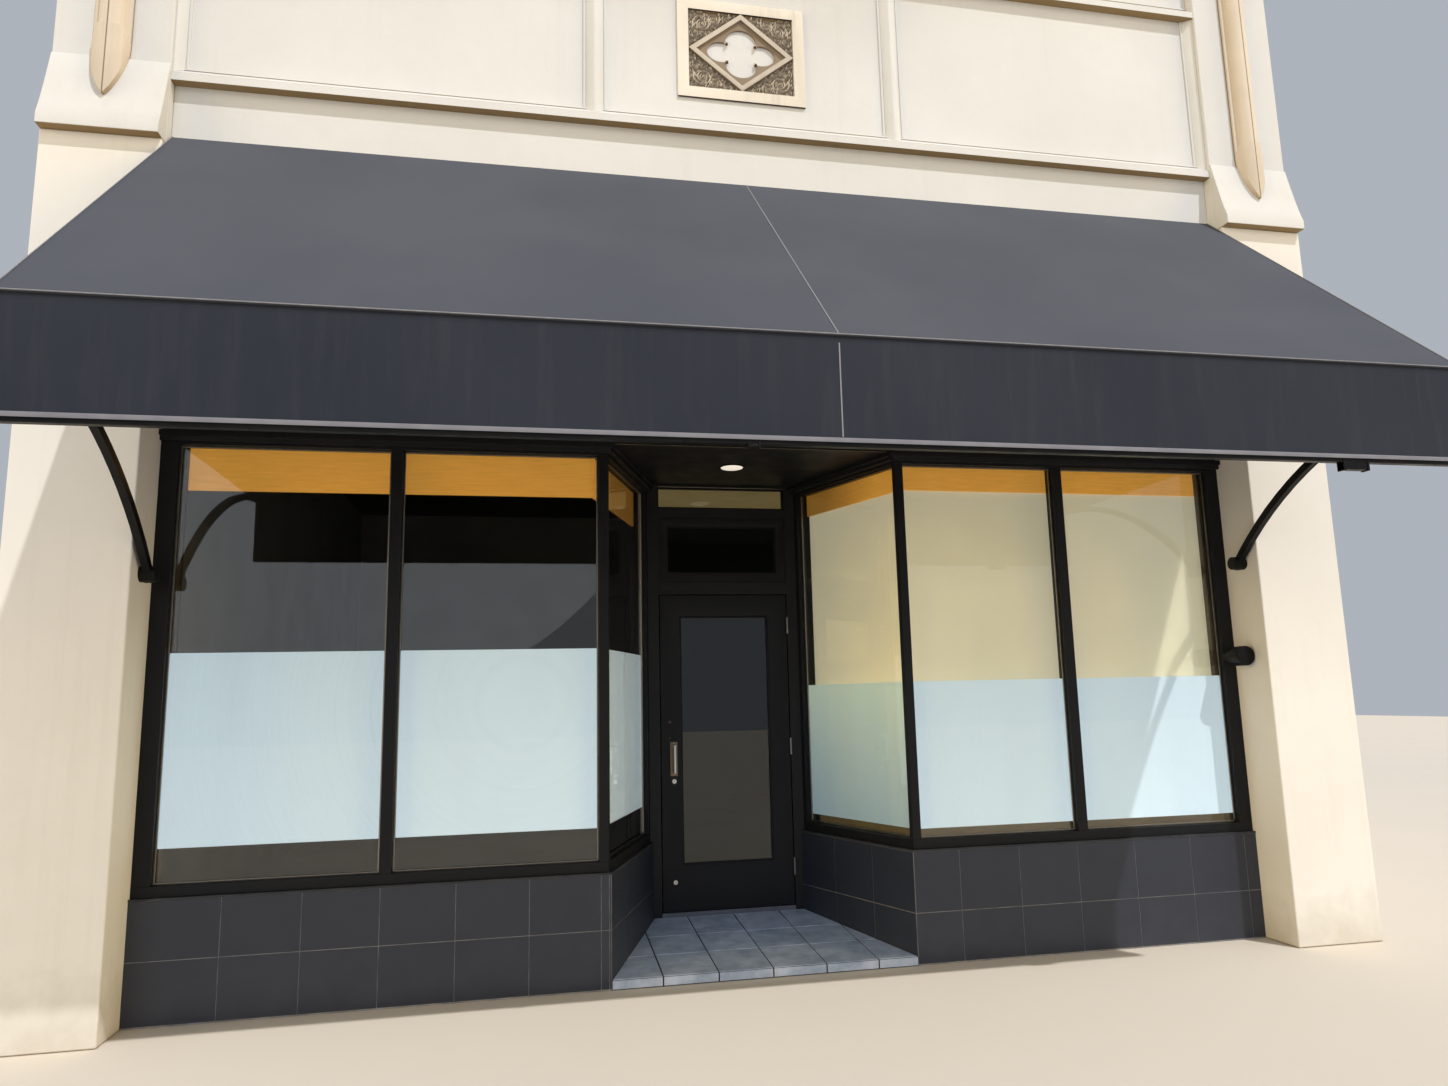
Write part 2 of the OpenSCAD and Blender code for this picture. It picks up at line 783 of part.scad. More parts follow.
// Post of the splay, against the door frame
module splay_end_post(side, corner, z0) {
    d0 = frame_back;
    d1 = frame_back + frame_d;
    prism([
        splay_pt(side, corner, splay_len - splay_post_w, d0),
        splay_pt(side, corner, splay_end(d0), d0),
        splay_pt(side, corner, splay_end(d1), d1),
        splay_pt(side, corner, splay_len - splay_post_w, d1)
    ], z0, glass_top);
}

module bay_posts() {
    color(frame_black) {
        slab(-half, -half + end_post_w, frame_y, frame_y + frame_d, left_sill_top, glass_top);
        slab(half - end_post_w, half, frame_y, frame_y + frame_d, right_sill_top, glass_top);
        for (mid = [[left_mid, left_sill_top], [right_mid, right_sill_top]])
            slab(mid[0] - post_w / 2, mid[0] + post_w / 2, frame_y, frame_y + frame_d, mid[1], glass_top);
        corner_post(1, mouth_l, left_sill_top);
        corner_post(-1, mouth_r, right_sill_top);
        splay_end_post(1, mouth_l, left_sill_top);
        splay_end_post(-1, mouth_r, right_sill_top);
    }
}

// Bottom and top rails, each running along the front and round into the recess
module bay_rails() {
    d1 = frame_back + frame_d;
    color(frame_black) {
        strips(1, mouth_l, mouth_l + half, frame_back, d1, left_cap_z, left_sill_top);
        strips(-1, mouth_r, half - mouth_r, frame_back, d1, right_cap_z, right_sill_top);
        strips(1, mouth_l, mouth_l + half, frame_back, d1, glass_top, lintel_z);
        strips(-1, mouth_r, half - mouth_r, frame_back, d1, glass_top, lintel_z);
    }
}

// One layer of flat sheets that fill the panes, at depth d0 to d1 behind the bulkhead's face
module pane_layer(d0, d1, left_z0, left_z1, right_z0, right_z1) {
    for (x = [[-half + end_post_w, left_mid - post_w / 2], [left_mid + post_w / 2, mouth_l - post_w]])
        slab(x[0] + seat, x[1] - seat, street_y + d0, street_y + d1, left_z0, left_z1);
    splay_sheet(1, mouth_l, d0, d1, left_z0, left_z1);
    for (x = [[mouth_r + post_w, right_mid - post_w / 2], [right_mid + post_w / 2, half - end_post_w]])
        slab(x[0] + seat, x[1] - seat, street_y + d0, street_y + d1, right_z0, right_z1);
    splay_sheet(-1, mouth_r, d0, d1, right_z0, right_z1);
}

module splay_sheet(side, corner, d0, d1, z0, z1) {
    prism([
        splay_pt(side, corner, splay_post_w + seat, d0),
        splay_pt(side, corner, splay_len - splay_post_w - seat, d0),
        splay_pt(side, corner, splay_len - splay_post_w - seat, d1),
        splay_pt(side, corner, splay_post_w + seat, d1)
    ], z0, z1);
}

module bay_glass() {
    color(clear_glass)
        pane_layer(glass_d, glass_d + glass_t, left_sill_top, glass_top, right_sill_top, glass_top);
}

module window_film() {
    back = glass_d + glass_t;
    color("white")
        pane_layer(back, back + film_t, film_foot_left, film_top_left, film_foot_right, film_top_right);
}

module window_pelmets() {
    d0 = frame_back + frame_d;
    d1 = d0 + pelmet_t;
    color(tan) {
        strips(1, mouth_l, mouth_l + half, d0, d1, glass_top - pelmet_left, lintel_z);
        strips(-1, mouth_r, half - mouth_r, d0, d1, glass_top - pelmet_right, lintel_z);
    }
}

module roller_shades() {
    d0 = frame_back + frame_d + pelmet_t;
    color([0.75, 0.71, 0.6])
        strips(-1, mouth_r, half - mouth_r, d0, d0 + shade_t, right_sill_top, glass_top);
}

module cornice_side(side, corner, far) {
    low_z = soffit_z - cornice_h;
    step_z = low_z + cornice_step;
    d1 = frame_back;
    strips(side, corner, far, d1 - cornice_proud * cornice_low, d1, low_z, step_z);
    strips(side, corner, far, d1 - cornice_proud, d1, step_z, soffit_z);
}

module shopfront_cornice() {
    color(frame_black) {
        cornice_side(1, mouth_l, mouth_l + half);
        cornice_side(-1, mouth_r, half - mouth_r);
    }
}

module entry_soffit() {
    d = frame_back;
    back = d / cos(splay_a);
    color(frame_black) difference() {
        prism([
            [mouth_l - d * mitre, frame_y],
            [mouth_r + d * mitre, frame_y],
            [back_r + back, 0],
            [back_r + back, jamb_d],
            [back_l - back, jamb_d],
            [back_l - back, 0]
        ], soffit_z, lintel_z);
        translate([light_x, light_y, soffit_z - 1]) cylinder(d = light_d, h = soffit_t + 2);
    }
}

module downlight() {
    flange_t = 4;
    color("white") translate([light_x, light_y, soffit_z - flange_t]) {
        cylinder(r = light_d / 2 + light_lip, h = flange_t);
        cylinder(d = light_d - 2 * seat, h = light_h);
    }
}

module door_jambs() {
    out = bulk_t / cos(splay_a);
    color(frame_black) {
        slab(back_l - out, jamb_l, 0, jamb_d, 0, soffit_z);
        slab(jamb_r, back_r + out, 0, jamb_d, 0, soffit_z);
    }
}

module door_head_bars() {
    color(frame_black) {
        slab(jamb_l, jamb_r, 0, jamb_d, bar_over_door, sash_z);
        slab(jamb_l, jamb_r, 0, jamb_d, light_bar_z, top_light_z);
        slab(jamb_l, jamb_r, 0, jamb_d, head_bar_z, soffit_z);
    }
}

module transom_sash() {
    color(frame_black) difference() {
        slab(jamb_l, jamb_r, sash_y, sash_y + sash_d, sash_z, light_bar_z);
        slab(jamb_l + sash_bar, jamb_r - sash_bar, sash_y - 1, sash_y + sash_d + 1,
            sash_z + sash_bar, light_bar_z - sash_bar);
    }
}

module transom_panes() {
    y0 = sash_y + sash_d / 2;
    color(clear_glass) {
        slab(jamb_l + sash_bar, jamb_r - sash_bar, y0, y0 + glass_t,
            sash_z + sash_bar, light_bar_z - sash_bar);
        slab(jamb_l, jamb_r, y0, y0 + glass_t, top_light_z, head_bar_z);
    }
}

module threshold() {
    color(silver) slab(jamb_l, jamb_r, 0, jamb_d, 0, door_z - door_gap);
}

module door_leaf() {
    color(frame_black) difference() {
        slab(door_l, door_r, leaf_y, leaf_y + door_t, door_z, door_top);
        slab(door_l + stile_w, door_r - stile_w, leaf_y - 1, leaf_y + door_t + 1,
            door_z + bottom_rail_h, door_top - top_rail_h);
    }
}

module door_glass() {
    y0 = leaf_y + (door_t - glass_t) / 2;
    color(clear_glass)
        slab(door_l + stile_w, door_r - stile_w, y0, y0 + glass_t,
            door_z + bottom_rail_h, door_top - top_rail_h);
}

// Pull: flat plate and an upright round bar on two stems
module door_pull() {
    x = door_l + pull_in;
    bar_y = leaf_y - pull_plate_t - pull_gap - pull_r;
    reach = pull_h / 2 - pull_end;
    color(silver) {
        slab(x - pull_w / 2, x + pull_w / 2, leaf_y - pull_plate_t, leaf_y,
            pull_z - pull_h / 2, pull_z + pull_h / 2);
        translate([x, bar_y, pull_z - reach]) cylinder(r = pull_r, h = 2 * reach);
        for (s = [-1, 1]) translate([x, bar_y, pull_z + s * reach]) {
            sphere(r = pull_r);
            rotate([-90, 0, 0]) cylinder(r = pull_r, h = pull_gap + pull_r + 1);
        }
    }
}

module door_locks() {
    x = door_l + pull_in;
    color(silver) for (z = [pull_z - pull_h / 2 - lock_drop, door_z + low_lock_z])
        translate([x, leaf_y, z]) rotate([90, 0, 0]) cylinder(r = lock_r, h = lock_out);
}

// One hinge half. The barrel has five knuckles, shared out between the frame and the door.
module hinge_half(z, mine, plate_x) {
    knuckle = hinge_h / 5;
    translate([0, 0, z - hinge_h / 2]) {
        slab(plate_x, plate_x + hinge_plate_t,
            leaf_y + hinge_plate_in, leaf_y + door_t - hinge_r, 0, hinge_h);
        for (k = mine) {
            z0 = k * knuckle + hinge_slit;
            z1 = (k + 1) * knuckle - hinge_slit;
            translate([hinge_x, hinge_y, z0]) cylinder(r = hinge_r, h = z1 - z0);
            slab(plate_x, plate_x + hinge_plate_t, hinge_y, leaf_y + 2 * hinge_plate_in, z0, z1);
        }
    }
}

module hinge_frame_leaves() {
    color(silver) for (z = hinge_zs) hinge_half(z, [0, 2, 4], jamb_r - hinge_plate_t);
}

module hinge_door_leaves() {
    color(silver) for (z = hinge_zs) hinge_half(z, [1, 3], door_r);
}

// Height of the fabric's underside at a place on the slope
function under_slope(y) = awning_z - drop_t - (wall_y - y) * awning_tan;

module awning_cover() {
    color(fabric_dark) along_x([
        [wall_y, awning_z],
        [fold_y, fold_z],
        [fold_y, fold_z - drop_t],
        [wall_y, awning_z - drop_t]
    ], -awning_half, awning_half);
}

module awning_valance() {
    color(fabric_dark)
        slab(-awning_half, awning_half, fold_y, fold_y + fabric_t, fold_z - valance_h, fold_z - drop_t);
}

// Three-sided fabric ends, down to the height of the fold
module awning_ends() {
    color(fabric_dark) for (side = [-1, 1]) mirror([side < 0 ? 1 : 0, 0, 0])
        along_x([
            [wall_y, awning_z - drop_t],
            [fold_y + fabric_t, under_slope(fold_y + fabric_t)],
            [fold_y + fabric_t, fold_rail_z],
            [wall_y, fold_rail_z]
        ], awning_half - fabric_t, awning_half);
}

module awning_rails() {
    inner = awning_half - fabric_t;
    wall_rail_z = under_slope(wall_y - tube);
    color(frame_black) {
        slab(-inner, inner, wall_y - tube, wall_y, wall_rail_z - tube, wall_rail_z);
        slab(-inner, inner, fold_y + fabric_t, rail_back, fold_rail_z, fold_rail_z + tube);
        slab(-inner, inner, fold_y + fabric_t, rail_back, front_rail_z, front_rail_z + tube);
    }
}

module awning_rafters() {
    inner = awning_half - fabric_t - tube / 2;
    deep = tube / cos(awning_a);
    y0 = wall_y - tube;
    step = 2 * inner / (rafter_n - 1);
    color(frame_black) for (i = [0:rafter_n - 1]) translate([i * step - inner, 0, 0]) {
        along_x([
            [y0, under_slope(y0) - seat],
            [rail_back, under_slope(rail_back) - seat],
            [rail_back, under_slope(rail_back) - deep],
            [y0, under_slope(y0) - deep]
        ], -tube / 2, tube / 2);
        slab(-tube / 2, tube / 2, fold_y + fabric_t, rail_back, front_rail_z + tube, fold_rail_z);
    }
}

// Outline of a bowed bar in [y, z], on an arc from p to q that runs on by some length before p
function bow_points(p, q, bow, w, over, n) =
    let (c = norm(q - p), r = (c * c / 4 + bow * bow) / (2 * bow), half_a = asin(c / 2 / r),
         dir = (q - p) / c, up = [dir[1], -dir[0]], mid = (p + q) / 2 - up * (r - bow),
         first = -half_a - atan(over / r), sweep = half_a - first,
         rays = [for (i = [0:n]) let (a = first + sweep * i / n) dir * sin(a) + up * cos(a)])
    concat(
        [for (ray = rays) mid + (r + w / 2) * ray],
        [for (i = [n:-1:0]) mid + (r - w / 2) * rays[i]]
    );

// Bowed arm from a pivot beside the pier up to the rail behind the fold
module awning_arm(pivot_z) {
    steps = 16;
    x0 = half - arm_inset - arm_t;
    pivot = [arm_y, pivot_z];
    arc = bow_points(pivot, [rail_back - arm_bar, arm_top_z], arm_bow, arm_bar, arm_over, steps);
    intersection() {
        along_x(arc, x0, x0 + arm_t);
        slab(x0 - 1, half, rail_back, street_y, 0, awning_z);
    }
    translate([x0 - boss_out, pivot[0], pivot[1]])
        rotate([0, 90, 0]) cylinder(r = boss_r, h = half - x0 + boss_out);
}

module awning_arms() {
    color(frame_black) {
        mirror([1, 0, 0]) awning_arm(arm_left_z);
        awning_arm(arm_right_z);
    }
}

// Round lamp on the window frame: pin, swivel, short cone, head
module spot_lamp() {
    color(frame_black) translate([half - lamp_gap - lamp_d / 2, frame_y, lamp_z]) rotate([90, 0, 0]) {
        cylinder(d = lamp_pin_d, h = lamp_pin_l);
        translate([0, 0, lamp_pin_l]) {
            cylinder(d = swivel_d, h = swivel_l);
            translate([0, 0, swivel_l]) cylinder(d1 = swivel_d, d2 = lamp_d, h = lamp_cone);
            translate([0, 0, swivel_l + lamp_cone]) cylinder(d = lamp_d, h = lamp_l);
        }
    }
}

pier_left();
pier_right();
pilaster_left();
pilaster_right();
skirt_blocks();
pilaster_ribs();
front_wall();
panel_rails();
panel_bars();
ornament_frame();
ornament_tracery();
coping();
party_wall_left();
party_wall_right();
rear_wall();
roof_slab();
floor_slab();
bay_floors();
entry_floor();
bulkhead_left();
bulkhead_right();
bulkhead_splays();
bulkhead_caps();
bay_posts();
bay_rails();
bay_glass();
window_film();
window_pelmets();
roller_shades();
shopfront_cornice();
entry_soffit();
downlight();
door_jambs();
door_head_bars();
transom_sash();
transom_panes();
threshold();
door_leaf();
door_glass();
door_pull();
door_locks();
hinge_frame_leaves();
hinge_door_leaves();
awning_cover();
awning_valance();
awning_ends();
awning_rails();
awning_rafters();
awning_arms();
spot_lamp();
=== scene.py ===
# %% [markdown]
# This lesson dresses a row shop: a stucco front with a recessed, tiled entry, a charcoal awning and a
# panelled upper wall with a cast ornament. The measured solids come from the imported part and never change.
# Here they get rounded edges, tiles, glazing beads, cloth and finishes.

# %% Load the measured solids
import math
import random

import bmesh
import bpy
from mathutils import Matrix, Vector


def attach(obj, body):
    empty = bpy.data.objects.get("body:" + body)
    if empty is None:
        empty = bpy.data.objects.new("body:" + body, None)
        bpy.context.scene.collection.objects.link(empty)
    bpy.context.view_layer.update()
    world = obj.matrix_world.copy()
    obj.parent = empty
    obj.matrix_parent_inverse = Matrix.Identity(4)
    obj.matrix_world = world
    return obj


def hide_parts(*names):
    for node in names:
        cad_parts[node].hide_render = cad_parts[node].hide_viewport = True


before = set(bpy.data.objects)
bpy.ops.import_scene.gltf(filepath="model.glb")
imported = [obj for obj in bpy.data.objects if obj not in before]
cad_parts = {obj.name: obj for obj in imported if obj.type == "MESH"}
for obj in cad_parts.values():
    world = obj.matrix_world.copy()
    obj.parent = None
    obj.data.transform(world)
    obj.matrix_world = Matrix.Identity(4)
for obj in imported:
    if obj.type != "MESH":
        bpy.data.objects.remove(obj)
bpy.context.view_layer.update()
scene = bpy.context.scene

# %% [markdown]
# Every place below is in metres, with X along the street, Y into the shop and Z up. The origin is on the
# ground, in the plane of the entry door. The same few planes carry most of the pieces, so they get names.
# Where the two sides differ, -1 stands for the left one and 1 for the right one.

# %% Planes and levels of the building
HALF = 3.295
OUTER = 3.895
STREET_Y = -1.100
WALL_Y = -1.250
RECESS = 1.100
SPLAY_SHIFT = 0.377
SPLAY = math.atan2(SPLAY_SHIFT, RECESS)
SPLAY_LEN = math.hypot(SPLAY_SHIFT, RECESS)
SIDES = {-1: "left", 1: "right"}
MOUTH = {-1: -0.837, 1: 0.957}
BULK_TOP = {-1: 0.612, 1: 0.642}
SILL_TOP = {-1: 0.680, 1: 0.710}
GLASS_TOP = 3.025
HEAD_X = (-0.404, 0.524)
BODY = "building"
random.seed(7)
print("the recess narrows by", round(math.degrees(SPLAY), 1), "degrees a side")

# %% [markdown]
# The camera stands where the photograph was taken: left of the middle, a little under eye height, looking
# slightly up and to the right. The lens is wide, so upright lines lean, as they do in the photograph.

# %% Camera
CAMERA_AT = Vector((-1.3284, -6.8300, 1.5768))
YAW, PITCH, ROLL = math.radians(11.60), math.radians(8.947), math.radians(-1.276)
LENS_PX = 981.77
PHOTO_WIDTH_PX = 1448
SENSOR_MM = 36

forward = Vector((math.sin(YAW) * math.cos(PITCH), math.cos(YAW) * math.cos(PITCH), math.sin(PITCH)))
level_right = Vector((math.cos(YAW), -math.sin(YAW), 0))
level_up = level_right.cross(forward)
right = level_right * math.cos(ROLL) + level_up * math.sin(ROLL)
up = level_up * math.cos(ROLL) - level_right * math.sin(ROLL)

camera_data = bpy.data.cameras.new("street_camera")
camera_data.sensor_width = SENSOR_MM
camera_data.lens = SENSOR_MM * LENS_PX / PHOTO_WIDTH_PX
camera_data.clip_end = 200
camera = bpy.data.objects.new("street_camera", camera_data)
scene.collection.objects.link(camera)
turn = Matrix((right, up, -forward)).transposed()
camera.matrix_world = Matrix.Translation(CAMERA_AT) @ turn.to_4x4()
scene.camera = camera
print("lens", round(camera_data.lens, 2), "mm")

# %% [markdown]
# The light is a plain studio: a pale, slightly blue dome all round, and one crisp lamp high on the right in
# place of the sun. A weak cool lamp lifts the front. Two warm ones reach in under the awning from the sides,
# as light that a bright street throws back does. All of them are far away, so that they are even along the
# front and leave no bright pool on the floor. Only the key shows in reflections.

# %% Light and floor
STAGE_SIZE, STAGE_Z = 80, -0.002
scene.view_settings.view_transform = "Standard"
world = bpy.data.worlds.new("pale_dome")
scene.world = world
world.use_nodes = True
dome = world.node_tree.nodes["Background"]
dome.inputs["Color"].default_value = (0.84, 0.90, 1.0, 1)
dome.inputs["Strength"].default_value = 0.50


def far_lamp(name, toward, energy, spread_deg, colour, mirrored=False):
    """A lamp as far away as the sun, which shines along a direction."""
    data = bpy.data.lights.new(name, "SUN")
    data.energy = energy
    data.angle = math.radians(spread_deg)
    data.color = colour
    lamp = bpy.data.objects.new(name, data)
    scene.collection.objects.link(lamp)
    lamp.rotation_euler = Vector(toward).to_track_quat("-Z", "Y").to_euler()
    lamp.visible_glossy = mirrored


far_lamp("crisp_key", (-0.58, 1, -1.6), 2.35, 0.8, (1.0, 0.975, 0.93), mirrored=True)
far_lamp("front_fill", (0.2, 1, -0.36), 0.42, 40, (0.95, 0.97, 1.0))
for side in SIDES:
    far_lamp("street_bounce", (-side * 2.4, 1, -0.26), 1.50, 32, (1.0, 0.72, 0.26))

bpy.ops.object.select_all(action="DESELECT")
bpy.ops.mesh.primitive_plane_add(size=STAGE_SIZE, location=(0, 0, STAGE_Z))
floor = bpy.context.object
floor.name = "studio_floor"


# %% [markdown]
# Finishes share a few effects: a fine grain, broad cloudy patches, and streaks that run down. Each is a
# node group with its own inputs, built once. A group only puts out values, colours or normals.

# %% Helpers for node groups
def new_group(name, inputs, outputs):
    """An empty effect with named inputs and outputs."""
    group = bpy.data.node_groups.new(name, "ShaderNodeTree")
    for title, kind in inputs:
        group.interface.new_socket(name=title, in_out="INPUT", socket_type=kind)
    for title, kind in outputs:
        group.interface.new_socket(name=title, in_out="OUTPUT", socket_type=kind)
    return group, group.nodes.new("NodeGroupInput"), group.nodes.new("NodeGroupOutput")


def wire(tree, source, target):
    tree.links.new(source, target)


def math_node(tree, operation, a, b=None, clamp=False):
    """A math node whose inputs are sockets or plain numbers."""
    node = tree.nodes.new("ShaderNodeMath")
    node.operation = operation
    node.use_clamp = clamp
    for slot, value in zip(node.inputs, (a, b)):
        if value is None:
            continue
        if isinstance(value, (int, float)):
            slot.default_value = value
        else:
            wire(tree, value, slot)
    return node.outputs[0]


def spread(tree, value, low, high, to_low=0.0, to_high=1.0):
    """Maps a value from one range to another, held at both ends."""
    node = tree.nodes.new("ShaderNodeMapRange")
    wire(tree, value, node.inputs["Value"])
    for title, number in (("From Min", low), ("From Max", high), ("To Min", to_low), ("To Max", to_high)):
        node.inputs[title].default_value = number
    return node.outputs["Result"]


def mix_colour(tree, factor, a, b, blend="MIX"):
    """Mixes two colours, each a socket or a plain colour."""
    node = tree.nodes.new("ShaderNodeMix")
    node.data_type = "RGBA"
    node.blend_type = blend
    for slot, value in ((node.inputs[0], factor), (node.inputs[6], a), (node.inputs[7], b)):
        if isinstance(value, (int, float, tuple)):
            slot.default_value = value
        else:
            wire(tree, value, slot)
    return node.outputs[2]


def grey(tree, value):
    """A grey as bright as the value, to multiply a colour with."""
    node = tree.nodes.new("ShaderNodeCombineColor")
    for slot in node.inputs:
        wire(tree, value, slot)
    return node.outputs[0]


def dimmed(colour, share):
    return tuple(part * share for part in colour[:3]) + (1,)


def along(tree, place, axis):
    """One coordinate of a place or direction: X, Y or Z."""
    node = tree.nodes.new("ShaderNodeSeparateXYZ")
    wire(tree, place, node.inputs[0])
    return node.outputs[axis]


def own_number(tree, name):
    """A number that a piece carries on its points."""
    node = tree.nodes.new("ShaderNodeAttribute")
    node.attribute_name = name
    return node.outputs["Fac"]


def noise(tree, vector, scale, detail=3.0, roughness=0.5):
    node = tree.nodes.new("ShaderNodeTexNoise")
    node.inputs["Scale"].default_value = scale
    node.inputs["Detail"].default_value = detail
    node.inputs["Roughness"].default_value = roughness
    wire(tree, vector, node.inputs["Vector"])
    return node.outputs["Fac"]


def stretched(tree, vector, scale):
    """The same coordinates, drawn out along one direction."""
    node = tree.nodes.new("ShaderNodeMapping")
    node.inputs["Scale"].default_value = scale
    wire(tree, vector, node.inputs["Vector"])
    return node.outputs["Vector"]


def bump(tree, height, strength, distance, normal=None):
    node = tree.nodes.new("ShaderNodeBump")
    node.inputs["Strength"].default_value = strength
    node.inputs["Distance"].default_value = distance
    wire(tree, height, node.inputs["Height"])
    if normal is not None:
        wire(tree, normal, node.inputs["Normal"])
    return node.outputs["Normal"]


# %% [markdown]
# Clouds come in three sizes, from broad patches to a fine grain. Streaks are noise drawn out upright, seen
# only in patches. Ledges find the faces that look down, which the finishes darken as painted shade.

# %% Effects: clouds, streaks and the undersides of ledges
CLOUD_GRAINS = {"Broad": (0.9, 3, 0.55), "Middle": (7.0, 4, 0.6), "Fine": (260.0, 2, 0.6)}
clouds, c_in, c_out = new_group(
    "clouds", [("Place", "NodeSocketVector")], [(title, "NodeSocketFloat") for title in CLOUD_GRAINS]
)
for title, grain in CLOUD_GRAINS.items():
    wire(clouds, noise(clouds, c_in.outputs["Place"], *grain), c_out.inputs[title])

streaks, s_in, s_out = new_group("streaks", [("Place", "NodeSocketVector")], [("Mask", "NodeSocketFloat")])
thin_run = noise(streaks, stretched(streaks, s_in.outputs["Place"], (9, 9, 0.35)), 1.6, 4, 0.6)
patch = noise(streaks, s_in.outputs["Place"], 1.3, 2, 0.5)
run_mask = spread(streaks, thin_run, 0.52, 0.72)
patch_mask = spread(streaks, patch, 0.42, 0.62)
wire(streaks, math_node(streaks, "MULTIPLY", run_mask, patch_mask), s_out.inputs["Mask"])

# Downward faces are found here, so that finishes can paint shade under ledges.
ledges, _, l_out = new_group("ledges", [], [("Under", "NodeSocketFloat")])
facing = along(ledges, ledges.nodes.new("ShaderNodeNewGeometry").outputs["Normal"], "Z")
wire(ledges, spread(ledges, facing, -0.85, -0.2, 1.0, 0.0), l_out.inputs["Under"])


def start_finish(name):
    """A new material with its shader and the piece's own coordinates."""
    material = bpy.data.materials.new(name)
    material.use_nodes = True
    tree = material.node_tree
    shader = tree.nodes["Principled BSDF"]
    place = tree.nodes.new("ShaderNodeTexCoord").outputs["Object"]
    return material, tree, shader, place


def use_group(tree, group, place=None):
    node = tree.nodes.new("ShaderNodeGroup")
    node.node_tree = group
    if place is not None:
        wire(tree, place, node.inputs["Place"])
    return node


def surface(tree, shader, colour, rough, normal):
    """Gives a shader its colour, roughness and bumps. An even roughness is a plain number."""
    wire(tree, colour, shader.inputs["Base Color"])
    wire(tree, normal, shader.inputs["Normal"])
    if isinstance(rough, float):
        shader.inputs["Roughness"].default_value = rough
    else:
        wire(tree, rough, shader.inputs["Roughness"])


# %% [markdown]
# Painted stucco is a sand-finished coat: matt, cream, a little uneven in tone. Rain draws faint grey runs
# down from ledges and splashes the lowest hand's breadth. Faces under ledges are darkened brown, a painted
# shade. Cast stone takes the same coat in its own colours, with painted shade deep in its carving.

# %% Stucco, cast stone and concrete
PLASTER_ROUGH = 0.85


def plaster_finish(name, light, dark, stain, under, streak_amount, grain, hollow=None, keel=None):
    """Matt mineral finish. under is painted shade on the faces that look down. hollow is painted shade in the
    depth of a carving: its colour, the Y where it starts and the Y where it is full. keel is the X of a thin
    dark line along a ridge."""
    material, tree, shader, place = start_finish(name)
    cloud = use_group(tree, clouds, place)
    run = use_group(tree, streaks, place)
    tone = spread(tree, cloud.outputs["Broad"], 0.35, 0.65)
    base = mix_colour(tree, tone, light, dark)
    middle = spread(tree, cloud.outputs["Middle"], 0.45, 0.7, 0.0, 0.35)
    base = mix_colour(tree, middle, base, dark)
    base = mix_colour(tree, math_node(tree, "MULTIPLY", run.outputs["Mask"], streak_amount), base, stain)
    splash_top = math_node(tree, "MULTIPLY", cloud.outputs["Middle"], 0.45)
    splash = math_node(tree, "SUBTRACT", splash_top, along(tree, place, "Z"))
    base = mix_colour(tree, spread(tree, splash, -0.12, 0.22, 0.0, 0.55), base, stain)
    base = mix_colour(tree, use_group(tree, ledges).outputs["Under"], base, under)
    if hollow is not None:
        colour, start_y, full_y = hollow
        base = mix_colour(tree, spread(tree, along(tree, place, "Y"), start_y, full_y), base, colour)
    if keel is not None:
        from_keel = math_node(tree, "SUBTRACT", math_node(tree, "ABSOLUTE", along(tree, place, "X")), keel)
        line = spread(tree, math_node(tree, "ABSOLUTE", from_keel), 0.002, 0.005, 0.85, 0.0)
        base = mix_colour(tree, line, base, stain)
    speck = spread(tree, cloud.outputs["Fine"], 0.3, 0.7, 0.96, 1.03)
    base = mix_colour(tree, 1.0, base, grey(tree, speck), "MULTIPLY")
    wavy = bump(tree, cloud.outputs["Middle"], 0.25, 0.01)
    surface(tree, shader, base, PLASTER_ROUGH, bump(tree, cloud.outputs["Fine"], grain, 0.0015, wavy))
    return material


# Painted shade under ledges: brown, as where warm light from the street would reach, and near black under
# cast stone, tracery and roof felt. The stone's stain colour also serves as painted shade under the carving's
# ledges.
UNDER_LEDGE_SHADE = (0.29, 0.20, 0.095, 1)
RIB_DIRT_AND_SHADE = (0.13, 0.095, 0.06, 1)
DARK_UNDER_SHADE = (0.052, 0.038, 0.027, 1)
STONE_STAIN_AND_SHADE = (0.31, 0.275, 0.24, 1)
STONE = ((0.74, 0.695, 0.63, 1), (0.64, 0.595, 0.535, 1), STONE_STAIN_AND_SHADE)
# Stucco comes as two copies of one finish: a dimmer one for the upper wall and a brighter one for the piers
# and the walls of the shop. The difference is painted light, the street's bounce that lifts the piers.
stucco = plaster_finish(
    "painted_stucco", (0.66, 0.665, 0.675, 1), (0.615, 0.62, 0.625, 1), (0.43, 0.40, 0.35, 1),
    UNDER_LEDGE_SHADE, 0.12, 0.45
)
bounce_lit_stucco = plaster_finish(
    "bounce_lit_stucco", (0.77, 0.755, 0.73, 1), (0.73, 0.715, 0.685, 1), (0.49, 0.445, 0.38, 1),
    UNDER_LEDGE_SHADE, 0.12, 0.45
)
# The ribs take a darker, browner copy of the coat: partly weathering, partly painted shade. Their channels
# darken with depth, a painted shade, and a thin dark line runs along each keel.
rib_stucco = plaster_finish(
    "rib_stucco", (0.66, 0.59, 0.50, 1), (0.56, 0.49, 0.41, 1), RIB_DIRT_AND_SHADE,
    (0.30, 0.20, 0.09, 1), 0.18, 0.5, hollow=(RIB_DIRT_AND_SHADE, -1.334, -1.322), keel=3.595
)
cast_stone = plaster_finish("cast_stone", *STONE, DARK_UNDER_SHADE, 0.3, 0.6)
